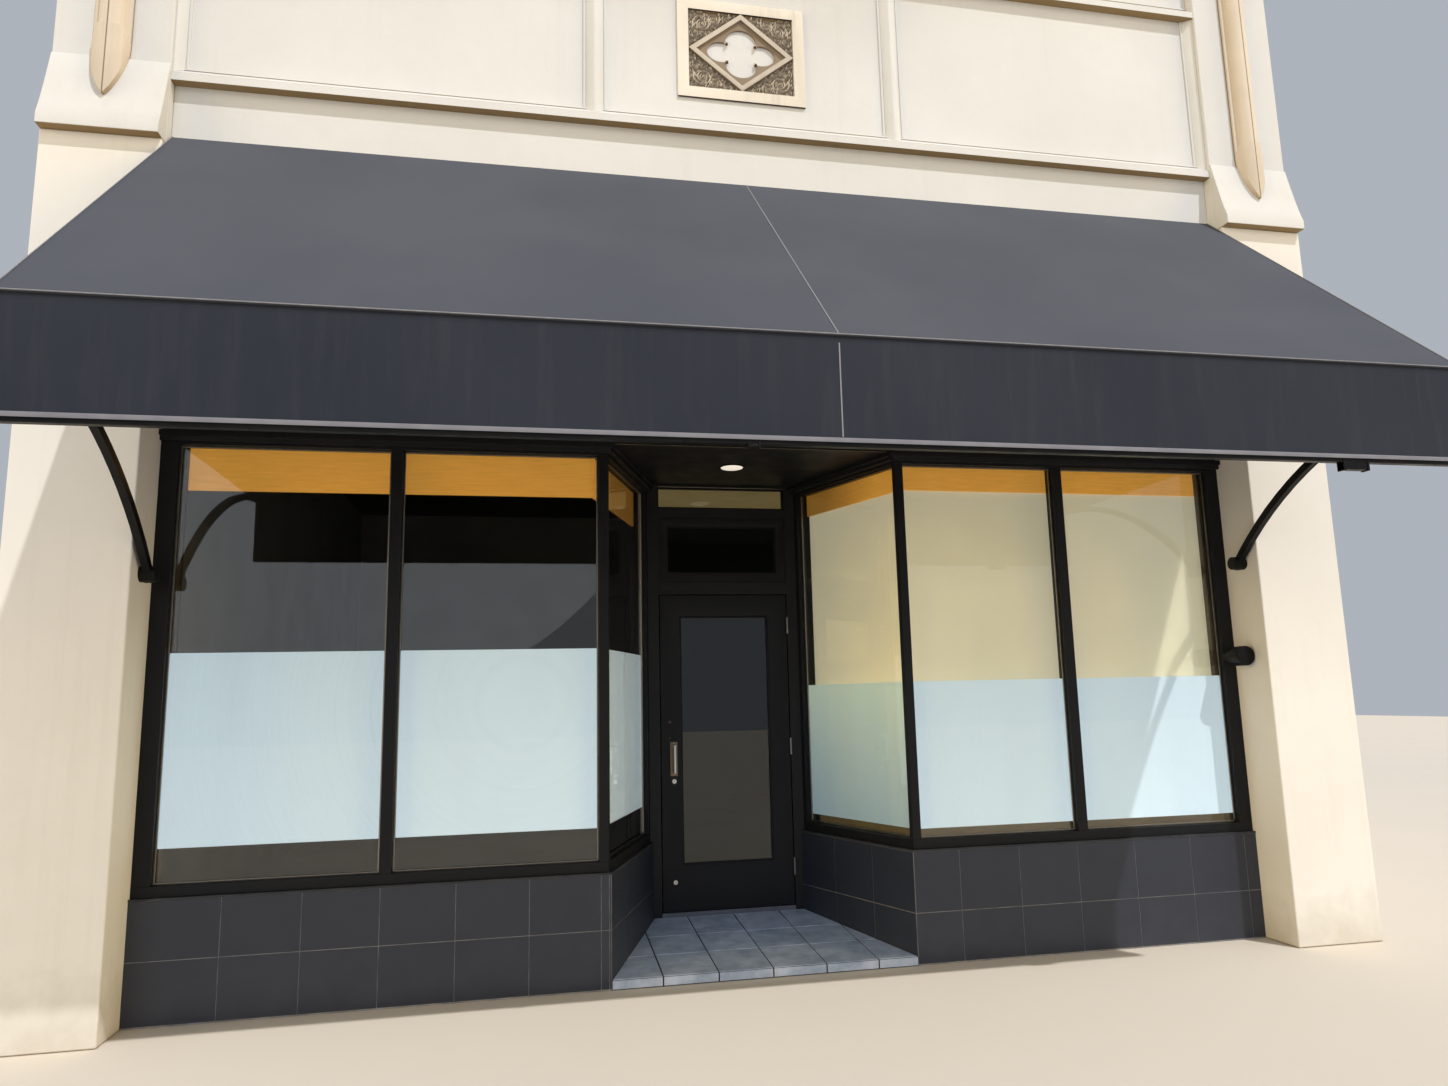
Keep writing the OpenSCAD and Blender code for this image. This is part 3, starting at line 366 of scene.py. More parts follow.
# Carved and tracery stone darken with depth behind the panel's face: painted shade in the hollows.
carved_stone = plaster_finish(
    "carved_stone", *STONE, STONE_STAIN_AND_SHADE, 0.3, 0.6, hollow=((0.28, 0.225, 0.17, 1), -1.2425, -1.2375)
)
tracery_stone = plaster_finish(
    "tracery_stone", *STONE, DARK_UNDER_SHADE, 0.3, 0.6, hollow=((0.25, 0.195, 0.14, 1), -1.2690, -1.256)
)
roof_felt = plaster_finish(
    "roof_felt", (0.20, 0.20, 0.20, 1), (0.13, 0.13, 0.13, 1), (0.08, 0.08, 0.08, 1), DARK_UNDER_SHADE, 0.3, 0.9
)


# %% [markdown]
# The shopfront's bars are black coated aluminium: satin, with a trace of pale dust that the broad clouds
# gather. Door hardware is satin steel, brushed along its length.

# %% Metals
COAT_SHINE = 0.13


def coated_finish(name, colour, dust, dust_amount, low_rough, high_rough):
    material, tree, shader, place = start_finish(name)
    shader.inputs["Specular IOR Level"].default_value = COAT_SHINE
    cloud = use_group(tree, clouds, place)
    run = use_group(tree, streaks, place)
    veil = spread(tree, cloud.outputs["Middle"], 0.4, 0.75, 0.0, dust_amount)
    veil = math_node(tree, "ADD", veil, math_node(tree, "MULTIPLY", run.outputs["Mask"], dust_amount))
    base = mix_colour(tree, veil, colour, dust)
    rough = spread(tree, cloud.outputs["Middle"], 0.3, 0.7, low_rough, high_rough)
    surface(tree, shader, base, rough, bump(tree, cloud.outputs["Fine"], 0.06, 0.0006))
    return material


def brushed_finish(name, colour, stretch, roughness):
    material, tree, shader, place = start_finish(name)
    lines = noise(tree, stretched(tree, place, stretch), 220, 2, 0.6)
    tone = spread(tree, lines, 0.3, 0.7, 0.86, 1.06)
    base = mix_colour(tree, 1.0, colour, grey(tree, tone), "MULTIPLY")
    rough = spread(tree, lines, 0.3, 0.7, roughness, roughness + 0.15)
    surface(tree, shader, base, rough, bump(tree, lines, 0.12, 0.0004))
    shader.inputs["Metallic"].default_value = 1.0
    return material


FRAME_DUST = (0.10, 0.10, 0.10, 1)
UPRIGHT = (1, 1, 0.04)
black_frame = coated_finish("black_frame", (0.0105, 0.0115, 0.0140, 1), FRAME_DUST, 0.02, 0.30, 0.46)
soffit_board = coated_finish("soffit_board", (0.011, 0.011, 0.012, 1), FRAME_DUST, 0.03, 0.38, 0.55)
awning_metal = coated_finish("awning_metal", (0.006, 0.006, 0.007, 1), FRAME_DUST, 0.04, 0.35, 0.5)
jamb_coat = coated_finish("jamb_coat", (0.0165, 0.0170, 0.0185, 1), FRAME_DUST, 0.03, 0.30, 0.46)
threshold_metal = coated_finish(
    "threshold_metal", (0.105, 0.115, 0.145, 1), (0.30, 0.31, 0.34, 1), 0.25, 0.34, 0.5
)
trim_metal = coated_finish("trim_metal", (0.030, 0.033, 0.042, 1), (0.20, 0.20, 0.20, 1), 0.12, 0.32, 0.5)
hinge_steel = brushed_finish("hinge_steel", (0.30, 0.29, 0.29, 1), UPRIGHT, 0.34)
satin_steel = brushed_finish("satin_steel", (0.66, 0.65, 0.63, 1), UPRIGHT, 0.26)
worn_plate = brushed_finish("worn_plate", (0.20, 0.15, 0.11, 1), UPRIGHT, 0.34)
bead_metal = brushed_finish("bead_metal", (0.34, 0.31, 0.26, 1), (0.2, 0.2, 0.2), 0.33)


# %% [markdown]
# Wall and floor tiles are flat stoneware. Each tile carries a number of its own, the attribute "tone",
# so that neighbours differ a little, as fired tiles do. Dust pales the lowest third of a metre.

# %% Tiles and grout
HAZE_TOP = 0.35


def tile_finish(name, low, high, own_share, cloud_amount, rough_low, rough_high, dust, dust_amount):
    material, tree, shader, place = start_finish(name)
    cloud = use_group(tree, clouds, place)
    wash = spread(tree, cloud.outputs["Middle"], 0.35, 0.7, 0.0, cloud_amount)
    fleck = noise(tree, place, 60, 4, 0.7)
    own = math_node(tree, "MULTIPLY", own_number(tree, "tone"), own_share)
    base = mix_colour(tree, math_node(tree, "ADD", own, wash, clamp=True), low, high)
    base = mix_colour(tree, spread(tree, fleck, 0.55, 0.75, 0.0, 0.25), base, high)
    haze = spread(tree, along(tree, place, "Z"), 0.0, HAZE_TOP, dust_amount, dust_amount * 0.15)
    haze = math_node(tree, "MULTIPLY", haze, spread(tree, cloud.outputs["Middle"], 0.3, 0.7, 0.3, 1.2))
    rough = spread(tree, fleck, 0.3, 0.7, rough_low, rough_high)
    surface(tree, shader, mix_colour(tree, haze, base, dust), rough, bump(tree, fleck, 0.12, 0.0008))
    return material


wall_tile = tile_finish(
    "charcoal_tile", (0.0185, 0.0225, 0.037, 1), (0.028, 0.034, 0.051, 1),
    0.35, 0.25, 0.40, 0.54, (0.16, 0.16, 0.17, 1), 0.06
)
# The floor tiles' strong blue and brightness are partly their own slate colour and partly painted sky light.
floor_tile = tile_finish(
    "grey_floor_tile", (0.29, 0.37, 0.53, 1), (0.58, 0.68, 0.88, 1),
    0.22, 0.9, 0.5, 0.72, (0.46, 0.45, 0.45, 1), 0.08
)


def plain_finish(name, colour, second, scale, amount, roughness, grain=0.2):
    """A quiet finish: one colour with soft clouds of a second one and a fine grain."""
    material, tree, shader, place = start_finish(name)
    cloud = use_group(tree, clouds, place)
    soft = noise(tree, place, scale, 3, 0.5)
    base = mix_colour(tree, spread(tree, soft, 0.35, 0.7, 0.0, amount), colour, second)
    rough = spread(tree, soft, 0.3, 0.7, roughness, min(1.0, roughness + 0.08))
    surface(tree, shader, base, rough, bump(tree, cloud.outputs["Fine"], grain, 0.0005))
    return material


grout = plain_finish("grout", (0.27, 0.27, 0.29, 1), (0.13, 0.13, 0.14, 1), 14, 0.8, 0.9, 0.6)
floor_grout = plain_finish(
    "floor_grout", (0.020, 0.020, 0.023, 1), (0.010, 0.010, 0.010, 1), 14, 0.8, 0.9, 0.6
)
gasket = plain_finish("gasket", (0.006, 0.006, 0.006, 1), (0.012, 0.012, 0.012, 1), 30, 0.6, 0.6)
shop_paint = plain_finish("shop_paint", (0.22, 0.215, 0.20, 1), (0.18, 0.175, 0.165, 1), 2, 0.8, 0.8, 0.05)
shop_floor = plain_finish("shop_floor", (0.66, 0.69, 0.73, 1), (0.58, 0.61, 0.65, 1), 1.2, 0.8, 0.6, 0.02)
lining_brown = plain_finish("lining_brown", (0.055, 0.036, 0.015, 1), (0.035, 0.024, 0.012, 1), 6, 0.8, 0.6)


# %% [markdown]
# The boards at the window heads are warm tan, and darker behind the splays. The boards, the film and the
# shades glow faintly, painted light for the daylight behind the glass. The frosted film is a milky sheet that
# lets light through: pale, cool, and a little brighter towards its foot. On the right splay, where shades
# hang behind it, it is dimmer and greener.

# %% Boards, film and glass
def glowing(tree, shader, colour, strength):
    """Painted light: the sheet's own colour given off faintly, for daylight that seeps through it, or a
    lamp's lit lens.
    """
    wire(tree, colour, shader.inputs["Emission Color"])
    shader.inputs["Emission Strength"].default_value = strength


SHADE_BAR_Z = (0.752, 0.766)
BOARD_SPLAY_X = (0.78, 0.96)
FILM_Z = (0.75, 1.9)
FILM_SPLAY_Z = (0.80, 1.60)
FILM_SPLAY_Y = (-1.018, -0.990)
FILM_SPLAY_X = (0.40, 0.45)


def shade_finish():
    """Cream cloth with a dark bar along its foot."""
    material, tree, shader, place = start_finish("cream_shade")
    cloud = spread(tree, noise(tree, place, 1.1, 2, 0.5), 0.35, 0.7)
    weave = noise(tree, stretched(tree, place, (1, 1, 0.05)), 60, 2, 0.5)
    colour = mix_colour(tree, cloud, (0.59, 0.53, 0.375, 1), (0.52, 0.485, 0.355, 1))
    foot = spread(tree, along(tree, place, "Z"), *SHADE_BAR_Z, 1.0, 0.0)
    colour = mix_colour(tree, foot, colour, (0.075, 0.052, 0.022, 1))
    glowing(tree, shader, colour, 0.57)
    surface(tree, shader, colour, 0.85, bump(tree, weave, 0.15, 0.0005))
    return material


def board_finish(name, light, dark, glow, splay_shade=0.0):
    material, tree, shader, place = start_finish(name)
    grain = noise(tree, stretched(tree, place, (1.2, 1.2, 18)), 5, 4, 0.6)
    colour = mix_colour(tree, spread(tree, grain, 0.3, 0.7), light, dark)
    from_middle = math_node(tree, "ABSOLUTE", along(tree, place, "X"))
    on_splay = spread(tree, from_middle, *BOARD_SPLAY_X, splay_shade, 0.0)
    colour = mix_colour(tree, on_splay, colour, dimmed(dark, 0.35))
    glowing(tree, shader, colour, glow)
    surface(tree, shader, colour, 0.55, bump(tree, grain, 0.1, 0.0005))
    return material


def film_finish():
    material, tree, shader, place = start_finish("frosted_film")
    fold = noise(tree, stretched(tree, place, (2.2, 2.2, 0.25)), 1.5, 2, 0.5)
    rise = spread(tree, along(tree, place, "Z"), *FILM_Z, 0.0, 0.6)
    amount = math_node(tree, "ADD", rise, spread(tree, fold, 0.35, 0.65, -0.06, 0.1), clamp=True)
    colour = mix_colour(tree, amount, (0.66, 0.735, 0.785, 1), (0.59, 0.655, 0.69, 1))
    behind_front = spread(tree, along(tree, place, "Y"), *FILM_SPLAY_Y)
    on_right = spread(tree, along(tree, place, "X"), *FILM_SPLAY_X)
    splay_rise = spread(tree, along(tree, place, "Z"), *FILM_SPLAY_Z)
    splay_colour = mix_colour(tree, splay_rise, (0.37, 0.465, 0.51, 1), (0.57, 0.64, 0.58, 1))
    colour = mix_colour(tree, math_node(tree, "MULTIPLY", behind_front, on_right), colour, splay_colour)
    glowing(tree, shader, colour, 0.33)
    surface(tree, shader, colour, 0.62, bump(tree, fold, 0.05, 0.002))
    return material


def glass_finish(name, tint):
    """Clear glass with faint smears. Most of the sun's light passes it, so that rooms behind are lit."""
    material, tree, shader, place = start_finish(name)
    smear = noise(tree, stretched(tree, place, (1, 1, 0.4)), 3.5, 4, 0.6)
    rough = spread(tree, smear, 0.45, 0.75, 0.0, 0.01)
    ripple = noise(tree, place, 0.8, 1, 0.4)
    base = mix_colour(tree, smear, tint, dimmed(tint, 0.94))
    surface(tree, shader, base, rough, bump(tree, ripple, 0.03, 0.01))
    sunlit = tree.nodes.new("ShaderNodeLightPath").outputs["Is Shadow Ray"]
    wire(tree, spread(tree, sunlit, 0.0, 1.0, 1.0, 0.12), shader.inputs["Alpha"])
    shader.inputs["Transmission Weight"].default_value = 1.0
    shader.inputs["IOR"].default_value = 1.5
    return material


# Boards, film and shades glow: painted light.
tan_board = board_finish("tan_board", (0.72, 0.34, 0.055, 1), (0.62, 0.28, 0.04, 1), 0.56, 0.82)
head_board = board_finish("head_board", (0.46, 0.29, 0.12, 1), (0.36, 0.22, 0.09, 1), 1.0)
film = film_finish()
cream_shade = shade_finish()
window_glass = glass_finish("window_glass", (0.93, 0.96, 0.95, 1))
door_pane_glass = glass_finish("door_pane_glass", (0.26, 0.31, 0.30, 1))


# %% [markdown]
# Awning cloth is a woven acrylic, charcoal. The slope is painted paler, a painted sheen where it faces the
# sky and sun, and the valance is darker. The weave is far finer than a pixel here, but its bump breaks the
# shine, and faint streaks run down from the fold.

# %% Awning cloth and lamp lens
def cloth_finish():
    material, tree, shader, place = start_finish("awning_cloth")
    cloud = use_group(tree, clouds, place)
    run = noise(tree, stretched(tree, place, (7, 0.6, 0.6)), 2.2, 4, 0.62)
    threads = []
    for direction in ("X", "Z"):
        wave = tree.nodes.new("ShaderNodeTexWave")
        wave.inputs["Scale"].default_value = 180
        wave.inputs["Distortion"].default_value = 0.6
        wave.bands_direction = direction
        wire(tree, place, wave.inputs["Vector"])
        threads.append(wave.outputs["Fac"])
    weave = math_node(tree, "MULTIPLY", *threads)
    tone = spread(tree, cloud.outputs["Broad"], 0.35, 0.65)
    # The slope's paler colour is a painted sheen of sky and sun. The valance and the ends keep the darker
    # one.
    sky_lit_slope = mix_colour(tree, tone, (0.056, 0.063, 0.085, 1), (0.068, 0.075, 0.098, 1))
    hanging = mix_colour(tree, tone, (0.0150, 0.0195, 0.032, 1), (0.0195, 0.0245, 0.038, 1))
    hanging = mix_colour(tree, spread(tree, run, 0.50, 0.74, 0.0, 0.16), hanging, (0.060, 0.066, 0.080, 1))
    base = mix_colour(tree, own_number(tree, "sky_lit_slope"), hanging, sky_lit_slope)
    rough = spread(tree, weave, 0.0, 1.0, 0.72, 0.86)
    surface(tree, shader, base, rough, bump(tree, weave, 0.2, 0.0008))
    shader.inputs["Specular IOR Level"].default_value = 0.3
    return material


def lens_finish():
    material, tree, shader, place = start_finish("lamp_lens")
    frost = noise(tree, place, 120, 2, 0.5)
    colour = mix_colour(tree, frost, (1.0, 0.93, 0.82, 1), (0.96, 0.88, 0.76, 1))
    glowing(tree, shader, colour, 0.60)
    wire(tree, colour, shader.inputs["Base Color"])
    shader.inputs["Roughness"].default_value = 0.5
    return material


awning_cloth = cloth_finish()
lens_white = lens_finish()
seam_thread = plain_finish("seam_thread", (0.20, 0.205, 0.23, 1), (0.26, 0.265, 0.29, 1), 40, 0.8, 0.8)
hem_tape = plain_finish("hem_tape", (0.165, 0.17, 0.21, 1), (0.21, 0.215, 0.255, 1), 9, 0.8, 0.75)
# A near black rod under the fold is a painted shadow.
fold_shadow = plain_finish("fold_shadow_paint", (0.010, 0.011, 0.017, 1), (0.014, 0.015, 0.022, 1), 9, 0.8, 0.85)
floor.data.materials.append(
    plain_finish("studio_floor", (0.72, 0.655, 0.575, 1), (0.69, 0.63, 0.555, 1), 0.6, 0.5, 0.9)
)
print("finishes:", len(bpy.data.materials))


# %% [markdown]
# No real edge is razor sharp. Each masonry and metal solid is copied, its loose triangles are merged,
# its edges are rounded by a small bevel, and the copy stands for the solid.

# %% Rounding a measured solid
MERGE_WITHIN = 0.00005
FLAT_WITHIN = math.radians(0.6)


def only(piece):
    """Selects one piece and nothing else."""
    bpy.ops.object.select_all(action="DESELECT")
    piece.select_set(True)
    bpy.context.view_layer.objects.active = piece


def open_edit(piece):
    """Opens a piece in edit mode, with all of it selected."""
    only(piece)
    bpy.ops.object.mode_set(mode="EDIT")
    bpy.ops.mesh.select_all(action="SELECT")


def close_edit():
    bpy.ops.object.mode_set(mode="OBJECT")


def apply_modifier(piece, kind, **values):
    only(piece)
    modifier = piece.modifiers.new(kind.lower(), kind)
    for key, value in values.items():
        setattr(modifier, key, value)
    bpy.ops.object.modifier_apply(modifier=modifier.name)


def bevel(piece, width, degrees):
    """Rounds the edges that turn by more than some degrees."""
    angle = math.radians(degrees)
    apply_modifier(piece, "BEVEL", width=width, segments=2, limit_method="ANGLE", angle_limit=angle)


def wear(piece, finish):
    piece.data.materials.clear()
    piece.data.materials.append(finish)


def finish_piece(piece, finish, body=BODY, angle=30):
    """Smooths a piece, colours it and sets it on its body."""
    only(piece)
    bpy.ops.object.shade_smooth_by_angle(angle=math.radians(angle))
    wear(piece, finish)
    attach(piece, body)
    print(piece.name, len(piece.data.polygons), "faces")
    return piece


def rounded(node, finish, width=0.006, angle=28, body=BODY):
    """Stands a softly bevelled copy in for a measured solid."""
    piece = bpy.data.objects.new(node + "_dressed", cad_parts[node].data.copy())
    scene.collection.objects.link(piece)
    open_edit(piece)
    bpy.ops.mesh.remove_doubles(threshold=MERGE_WITHIN)
    bpy.ops.mesh.dissolve_limited(angle_limit=FLAT_WITHIN)
    bpy.ops.mesh.normals_make_consistent(inside=False)
    close_edit()
    bevel(piece, width, angle)
    finish_piece(piece, finish, body, 25)
    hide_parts(node)
    return piece


def second_finish(piece, finish, behind_y):
    """Gives the faces behind a plane a finish of their own."""
    piece.data.materials.append(finish)
    for face in piece.data.polygons:
        face.material_index = 1 if face.center.y > behind_y else 0


# %% [markdown]
# Masonry edges wear rounder than metal ones, so walls and piers get a bevel of 7 to 10 mm and mouldings one
# of 3 or 4 mm. The walls' inner faces are found by where they lie and face, and take grey paint. The sunk
# ground of the cast panel, found by its depth, gets the finish of the carving that will stand on it.

# %% Masonry
ROOM_MIDDLE = Vector((0, 3.2, 2.2))
ROOM_SIDE = OUTER - 0.25
ROOM_FRONT, ROOM_BACK, ROOM_TOP = -0.97, 7.65, 4.3
CARVED_FROM_Y = -1.240


def paint_inside(piece):
    """Gives the faces that look into the shop their own grey paint."""
    piece.data.materials.append(shop_paint)
    for face in piece.data.polygons:
        inward = (ROOM_MIDDLE - face.center).dot(face.normal) > 0
        beside = abs(face.center.x) < ROOM_SIDE and face.center.z < ROOM_TOP
        if inward and beside and ROOM_FRONT < face.center.y < ROOM_BACK:
            face.material_index = 1


for node in ("pier_left", "pier_right"):
    rounded(node, bounce_lit_stucco, 0.007)
for node in ("pilaster_left", "pilaster_right", "skirt_blocks", "front_wall"):
    rounded(node, stucco, 0.007)
for node in ("party_wall_left", "party_wall_right", "rear_wall"):
    paint_inside(rounded(node, bounce_lit_stucco, 0.010))
for node in ("panel_rails", "panel_bars"):
    rounded(node, stucco, 0.003)
rounded("pilaster_ribs", rib_stucco, 0.003, 40)
second_finish(rounded("ornament_frame", cast_stone, 0.004), carved_stone, CARVED_FROM_Y)
rounded("ornament_tracery", tracery_stone, 0.003)
rounded("coping", cast_stone, 0.008)

# %% [markdown]
# Extruded bars have almost sharp edges, so their bevels are only a few millimetres, just enough to catch
# the light. The pull's back plate is worn brown, and is told from its bright grip by its depth.

# %% Bars, door and hardware
PULL_PLATE_Y = -0.006

for node in ("bay_posts", "bay_rails", "shopfront_cornice"):
    rounded(node, black_frame, 0.002)
for node in ("door_jambs", "door_head_bars", "transom_sash"):
    rounded(node, jamb_coat, 0.002)
rounded("door_leaf", black_frame, 0.0025, body="door")
rounded("threshold", threshold_metal, 0.004)
rounded("bulkhead_caps", trim_metal, 0.0015)
pull = rounded("door_pull", satin_steel, 0.0012, 50, "door")
second_finish(pull, worn_plate, PULL_PLATE_Y)
rounded("door_locks", satin_steel, 0.0012, 50, "door")
rounded("hinge_frame_leaves", hinge_steel, 0.0006, 50)
rounded("hinge_door_leaves", hinge_steel, 0.0006, 50, "door")
for node in ("awning_rails", "awning_rafters", "awning_arms", "spot_lamp"):
    rounded(node, awning_metal, 0.003, 40)

# %% [markdown]
# Slabs, panes, film, shades and what the tiles will hide are good as they were measured. They keep their
# own mesh and only get a finish, because a bevel would not show on them.

# %% Finishes on the solids that stay as they are
PLAIN = {
    "floor_slab": shop_floor,
    "bay_floors": shop_floor,
    "roof_slab": roof_felt,
    "entry_floor": floor_grout,
    "bulkhead_left": grout,
    "bulkhead_right": grout,
    "bulkhead_splays": grout,
    "bay_glass": window_glass,
    "transom_panes": door_pane_glass,
    "door_glass": door_pane_glass,
    "window_film": film,
    "window_pelmets": tan_board,
    "roller_shades": cream_shade,
    "entry_soffit": soffit_board,
    "downlight": soffit_board,
}
for node, finish in PLAIN.items():
    wear(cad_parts[node], finish)


# %% [markdown]
# Wall tiles are thin plates with a small bevel, laid over the bulkheads with open joints of about 4 mm
# that show the grout behind. The tiles of a splay are laid out flat and then turned onto it.

# %% A tile, and how to lay a wall of them
JOINT = 0.0042
TILE_T = 0.003
TILE_EDGE = 0.0008


def new_piece(name):
    """Names the shape just added, and moves its place and size into its mesh."""
    piece = bpy.context.object
    piece.name = name
    bpy.ops.object.transform_apply(location=True, rotation=True, scale=True)
    return piece


def plate(name, x0, x1, y0, y1, z0, z1, edge):
    """A flat plate with bevelled edges."""
    bpy.ops.object.select_all(action="DESELECT")
    middle = ((x0 + x1) / 2, (y0 + y1) / 2, (z0 + z1) / 2)
    bpy.ops.mesh.primitive_cube_add(size=1, location=middle)
    bpy.context.object.scale = (x1 - x0, y1 - y0, z1 - z0)
    piece = new_piece(name)
    open_edit(piece)
    bpy.ops.mesh.bevel(offset=edge, segments=2, affect="EDGES")
    close_edit()
    return piece


def set_tone(piece, value, name="tone"):
    attribute = piece.data.attributes.new(name, "FLOAT", "POINT")
    attribute.data.foreach_set("value", [value] * len(piece.data.vertices))


def joined(pieces, name):
    bpy.ops.object.select_all(action="DESELECT")
    for piece in pieces:
        piece.select_set(True)
    bpy.context.view_layer.objects.active = pieces[0]
    if len(pieces) > 1:
        bpy.ops.object.join()
    piece = bpy.context.object
    piece.name = name
    return piece


def into_bay(side):
    """The level direction that leads from the recess through one side's splay."""
    return Vector((side * math.cos(SPLAY), math.sin(SPLAY), 0))


def place_on_splay(piece, side, depth=0.0):
    """Moves a piece drawn along +X from the origin onto one side's splay, and applies the move."""
    turned_by = Matrix.Rotation(math.pi / 2 + side * SPLAY, 4, "Z")
    only(piece)
    corner = Vector((MOUTH[side], STREET_Y, 0))
    piece.matrix_world = Matrix.Translation(corner + into_bay(side) * depth) @ turned_by
    bpy.ops.object.transform_apply(location=True, rotation=True, scale=True)


def tile_wall(name, stops, rows, y0, splay_side=None):
    """Lays rows of tiles between the stops, from the plane y0 on, and turns them onto a splay if asked."""
    tiles = []
    for x0, x1 in zip(stops, stops[1:]):
        for z0, z1 in zip(rows, rows[1:]):
            across = (x0 + JOINT / 2, x1 - JOINT / 2)
            tile = plate("tile", *across, y0, y0 + TILE_T, z0 + JOINT / 2, z1 - JOINT / 2, TILE_EDGE)
            if splay_side is not None:
                place_on_splay(tile, splay_side)
            set_tone(tile, random.random())
            tiles.append(tile)
    finish_piece(joined(tiles, name), wall_tile, angle=20)


# %% [markdown]
# The joints are counted from one measured place on each side, so that the odd widths fall at the ends of
# the wall. Both splays start with a whole tile at the street.

# %% Wall tiles
TILE_W = 0.3916
CORNER_TILE_W = 0.012
JOINTS_FROM = {-1: -3.244, 1: 3.207}
TILE_ROWS = {-1: (0.006, 0.317, BULK_TOP[-1]), 1: (0.006, 0.293, BULK_TOP[1])}
left_joints = [JOINTS_FROM[-1] + TILE_W * k for k in range(1, 7)]
right_joints = [JOINTS_FROM[1] - TILE_W * k for k in range(5, -1, -1)]
FRONT_STOPS = {
    -1: [-HALF] + left_joints + [MOUTH[-1] - CORNER_TILE_W, MOUTH[-1]],
    1: [MOUTH[1]] + right_joints + [HALF],
}
SPLAY_STOPS = [0.0, TILE_W, 2 * TILE_W, SPLAY_LEN - 0.002]

for side, word in SIDES.items():
    tile_wall("wall_tiles_" + word, FRONT_STOPS[side], TILE_ROWS[side], STREET_Y - TILE_T)
    tile_wall("splay_tiles_" + word, SPLAY_STOPS, TILE_ROWS[side], -TILE_T if side < 0 else 0.0, side)


# %% [markdown]
# The recess floor is laid in three courses that follow its slope. Each tile is one plate. Those at the
# sides are cut along the splayed walls with bisect, so that they end where the walls do. A narrow riser
# shows at the street.

# %% Floor tiles of the recess
FLOOR_FRONT_Z, FLOOR_BACK_Z = 0.050, 0.126
FLOOR_T, FLOOR_SUNK = 0.004, 0.002
RISER_FOOT, RISER_TOP = 0.004, 0.0495
SPLAY_GAP = 0.003
LONG_GAP, CROSS_GAP = 0.0040, 0.0050
COURSES = [STREET_Y, -0.740, -0.392, 0.0]
RUN_START, RUN_W = -0.551, 0.316
RUNS = [MOUTH[-1]] + [RUN_START + RUN_W * k for k in range(5)] + [MOUTH[1]]


def cut_away(piece, point, normal):
    """Cuts a closed piece with a plane and caps the cut. What lies on the normal's side goes."""
    open_edit(piece)
    bpy.ops.mesh.bisect(plane_co=point, plane_no=normal, clear_outer=True, use_fill=True)
    close_edit()


floor_pieces = []
for y0, y1 in zip(COURSES, COURSES[1:]):
    for x0, x1 in zip(RUNS, RUNS[1:]):
        across = (x0 + LONG_GAP, x1 - LONG_GAP)
        piece = plate("floor_tile", *across, y0 + CROSS_GAP, y1 - CROSS_GAP, -FLOOR_SUNK, FLOOR_T, TILE_EDGE)
        for side in SIDES:
            wall = Vector((MOUTH[side], STREET_Y, 0)) - into_bay(side) * (TILE_T + SPLAY_GAP)
            cut_away(piece, wall, into_bay(side))
        if not piece.data.vertices:
            bpy.data.objects.remove(piece)
            continue
        for vertex in piece.data.vertices:
            share = (vertex.co.y - STREET_Y) / RECESS
            vertex.co.z += FLOOR_FRONT_Z + (FLOOR_BACK_Z - FLOOR_FRONT_Z) * share
        set_tone(piece, random.random())
        floor_pieces.append(piece)
for x0, x1 in zip(RUNS, RUNS[1:]):
    across = (x0 + LONG_GAP, x1 - LONG_GAP)
    piece = plate("edge_tile", *across, STREET_Y - FLOOR_T, STREET_Y, RISER_FOOT, RISER_TOP, TILE_EDGE)
    set_tone(piece, 0.0)
    floor_pieces.append(piece)
finish_piece(joined(floor_pieces, "recess_floor_tiles"), floor_tile, angle=20)


# %% [markdown]
# A glazing bead is a slim frame pressed round each pane. It starts as a plane the size of the pane, is
# inset, loses its middle, and is drawn forward, so that its corners are mitred by themselves.

# %% Glazing beads
BEAD_EDGE = 0.0012
UPRIGHT_TURN = (math.pi / 2, 0, 0)


def bead(name, x0, x1, z0, z1, y, width, depth):
    """A mitred frame whose back lies at y and whose face stands depth in front of it."""
    bpy.ops.object.select_all(action="DESELECT")
    middle = ((x0 + x1) / 2, y, (z0 + z1) / 2)
    bpy.ops.mesh.primitive_plane_add(size=1, location=middle, rotation=UPRIGHT_TURN)
    bpy.context.object.scale = (x1 - x0, z1 - z0, 1)
    piece = new_piece(name)
    open_edit(piece)
    bpy.ops.mesh.inset(thickness=width, depth=0)
    bpy.ops.mesh.delete(type="FACE")
    bpy.ops.mesh.select_all(action="SELECT")
    bpy.ops.mesh.extrude_region_move(TRANSFORM_OT_translate={"value": (0, -depth, 0)})
    bpy.ops.mesh.select_all(action="SELECT")
    bpy.ops.mesh.normals_make_consistent(inside=False)
    close_edit()
    bevel(piece, BEAD_EDGE, 40)
    return piece


POST, END_POST, MID_POST, SPLAY_POST = 0.065, 0.090, 0.0325, 0.045
MID_X = {-1: -2.050, 1: 2.095}
GLASS_SET = 0.063
GLASS_Y = STREET_Y + GLASS_SET
BEAD_W, BEAD_OUT = 0.011, 0.010
beads = []
for side in SIDES:
    end, mid, corner = side * (HALF - END_POST), MID_X[side], MOUTH[side] + side * POST
    pane = (SILL_TOP[side], GLASS_TOP)
    for ends in ((end, mid + side * MID_POST), (mid - side * MID_POST, corner)):
        beads.append(bead("bead", *sorted(ends), *pane, GLASS_Y, BEAD_W, BEAD_OUT))
    splay = bead("bead", SPLAY_POST, SPLAY_LEN - SPLAY_POST, *pane, 0, BEAD_W, BEAD_OUT)
    if side > 0:
        for vertex in splay.data.vertices:
            vertex.co.y = -vertex.co.y
        splay.data.flip_normals()
    place_on_splay(splay, side, GLASS_SET)
    beads.append(splay)
finish_piece(joined(beads, "window_beads"), bead_metal)

# %% [markdown]
# The door and the transom have beads of the same kind, in the black of their bars. The door's rides with it.

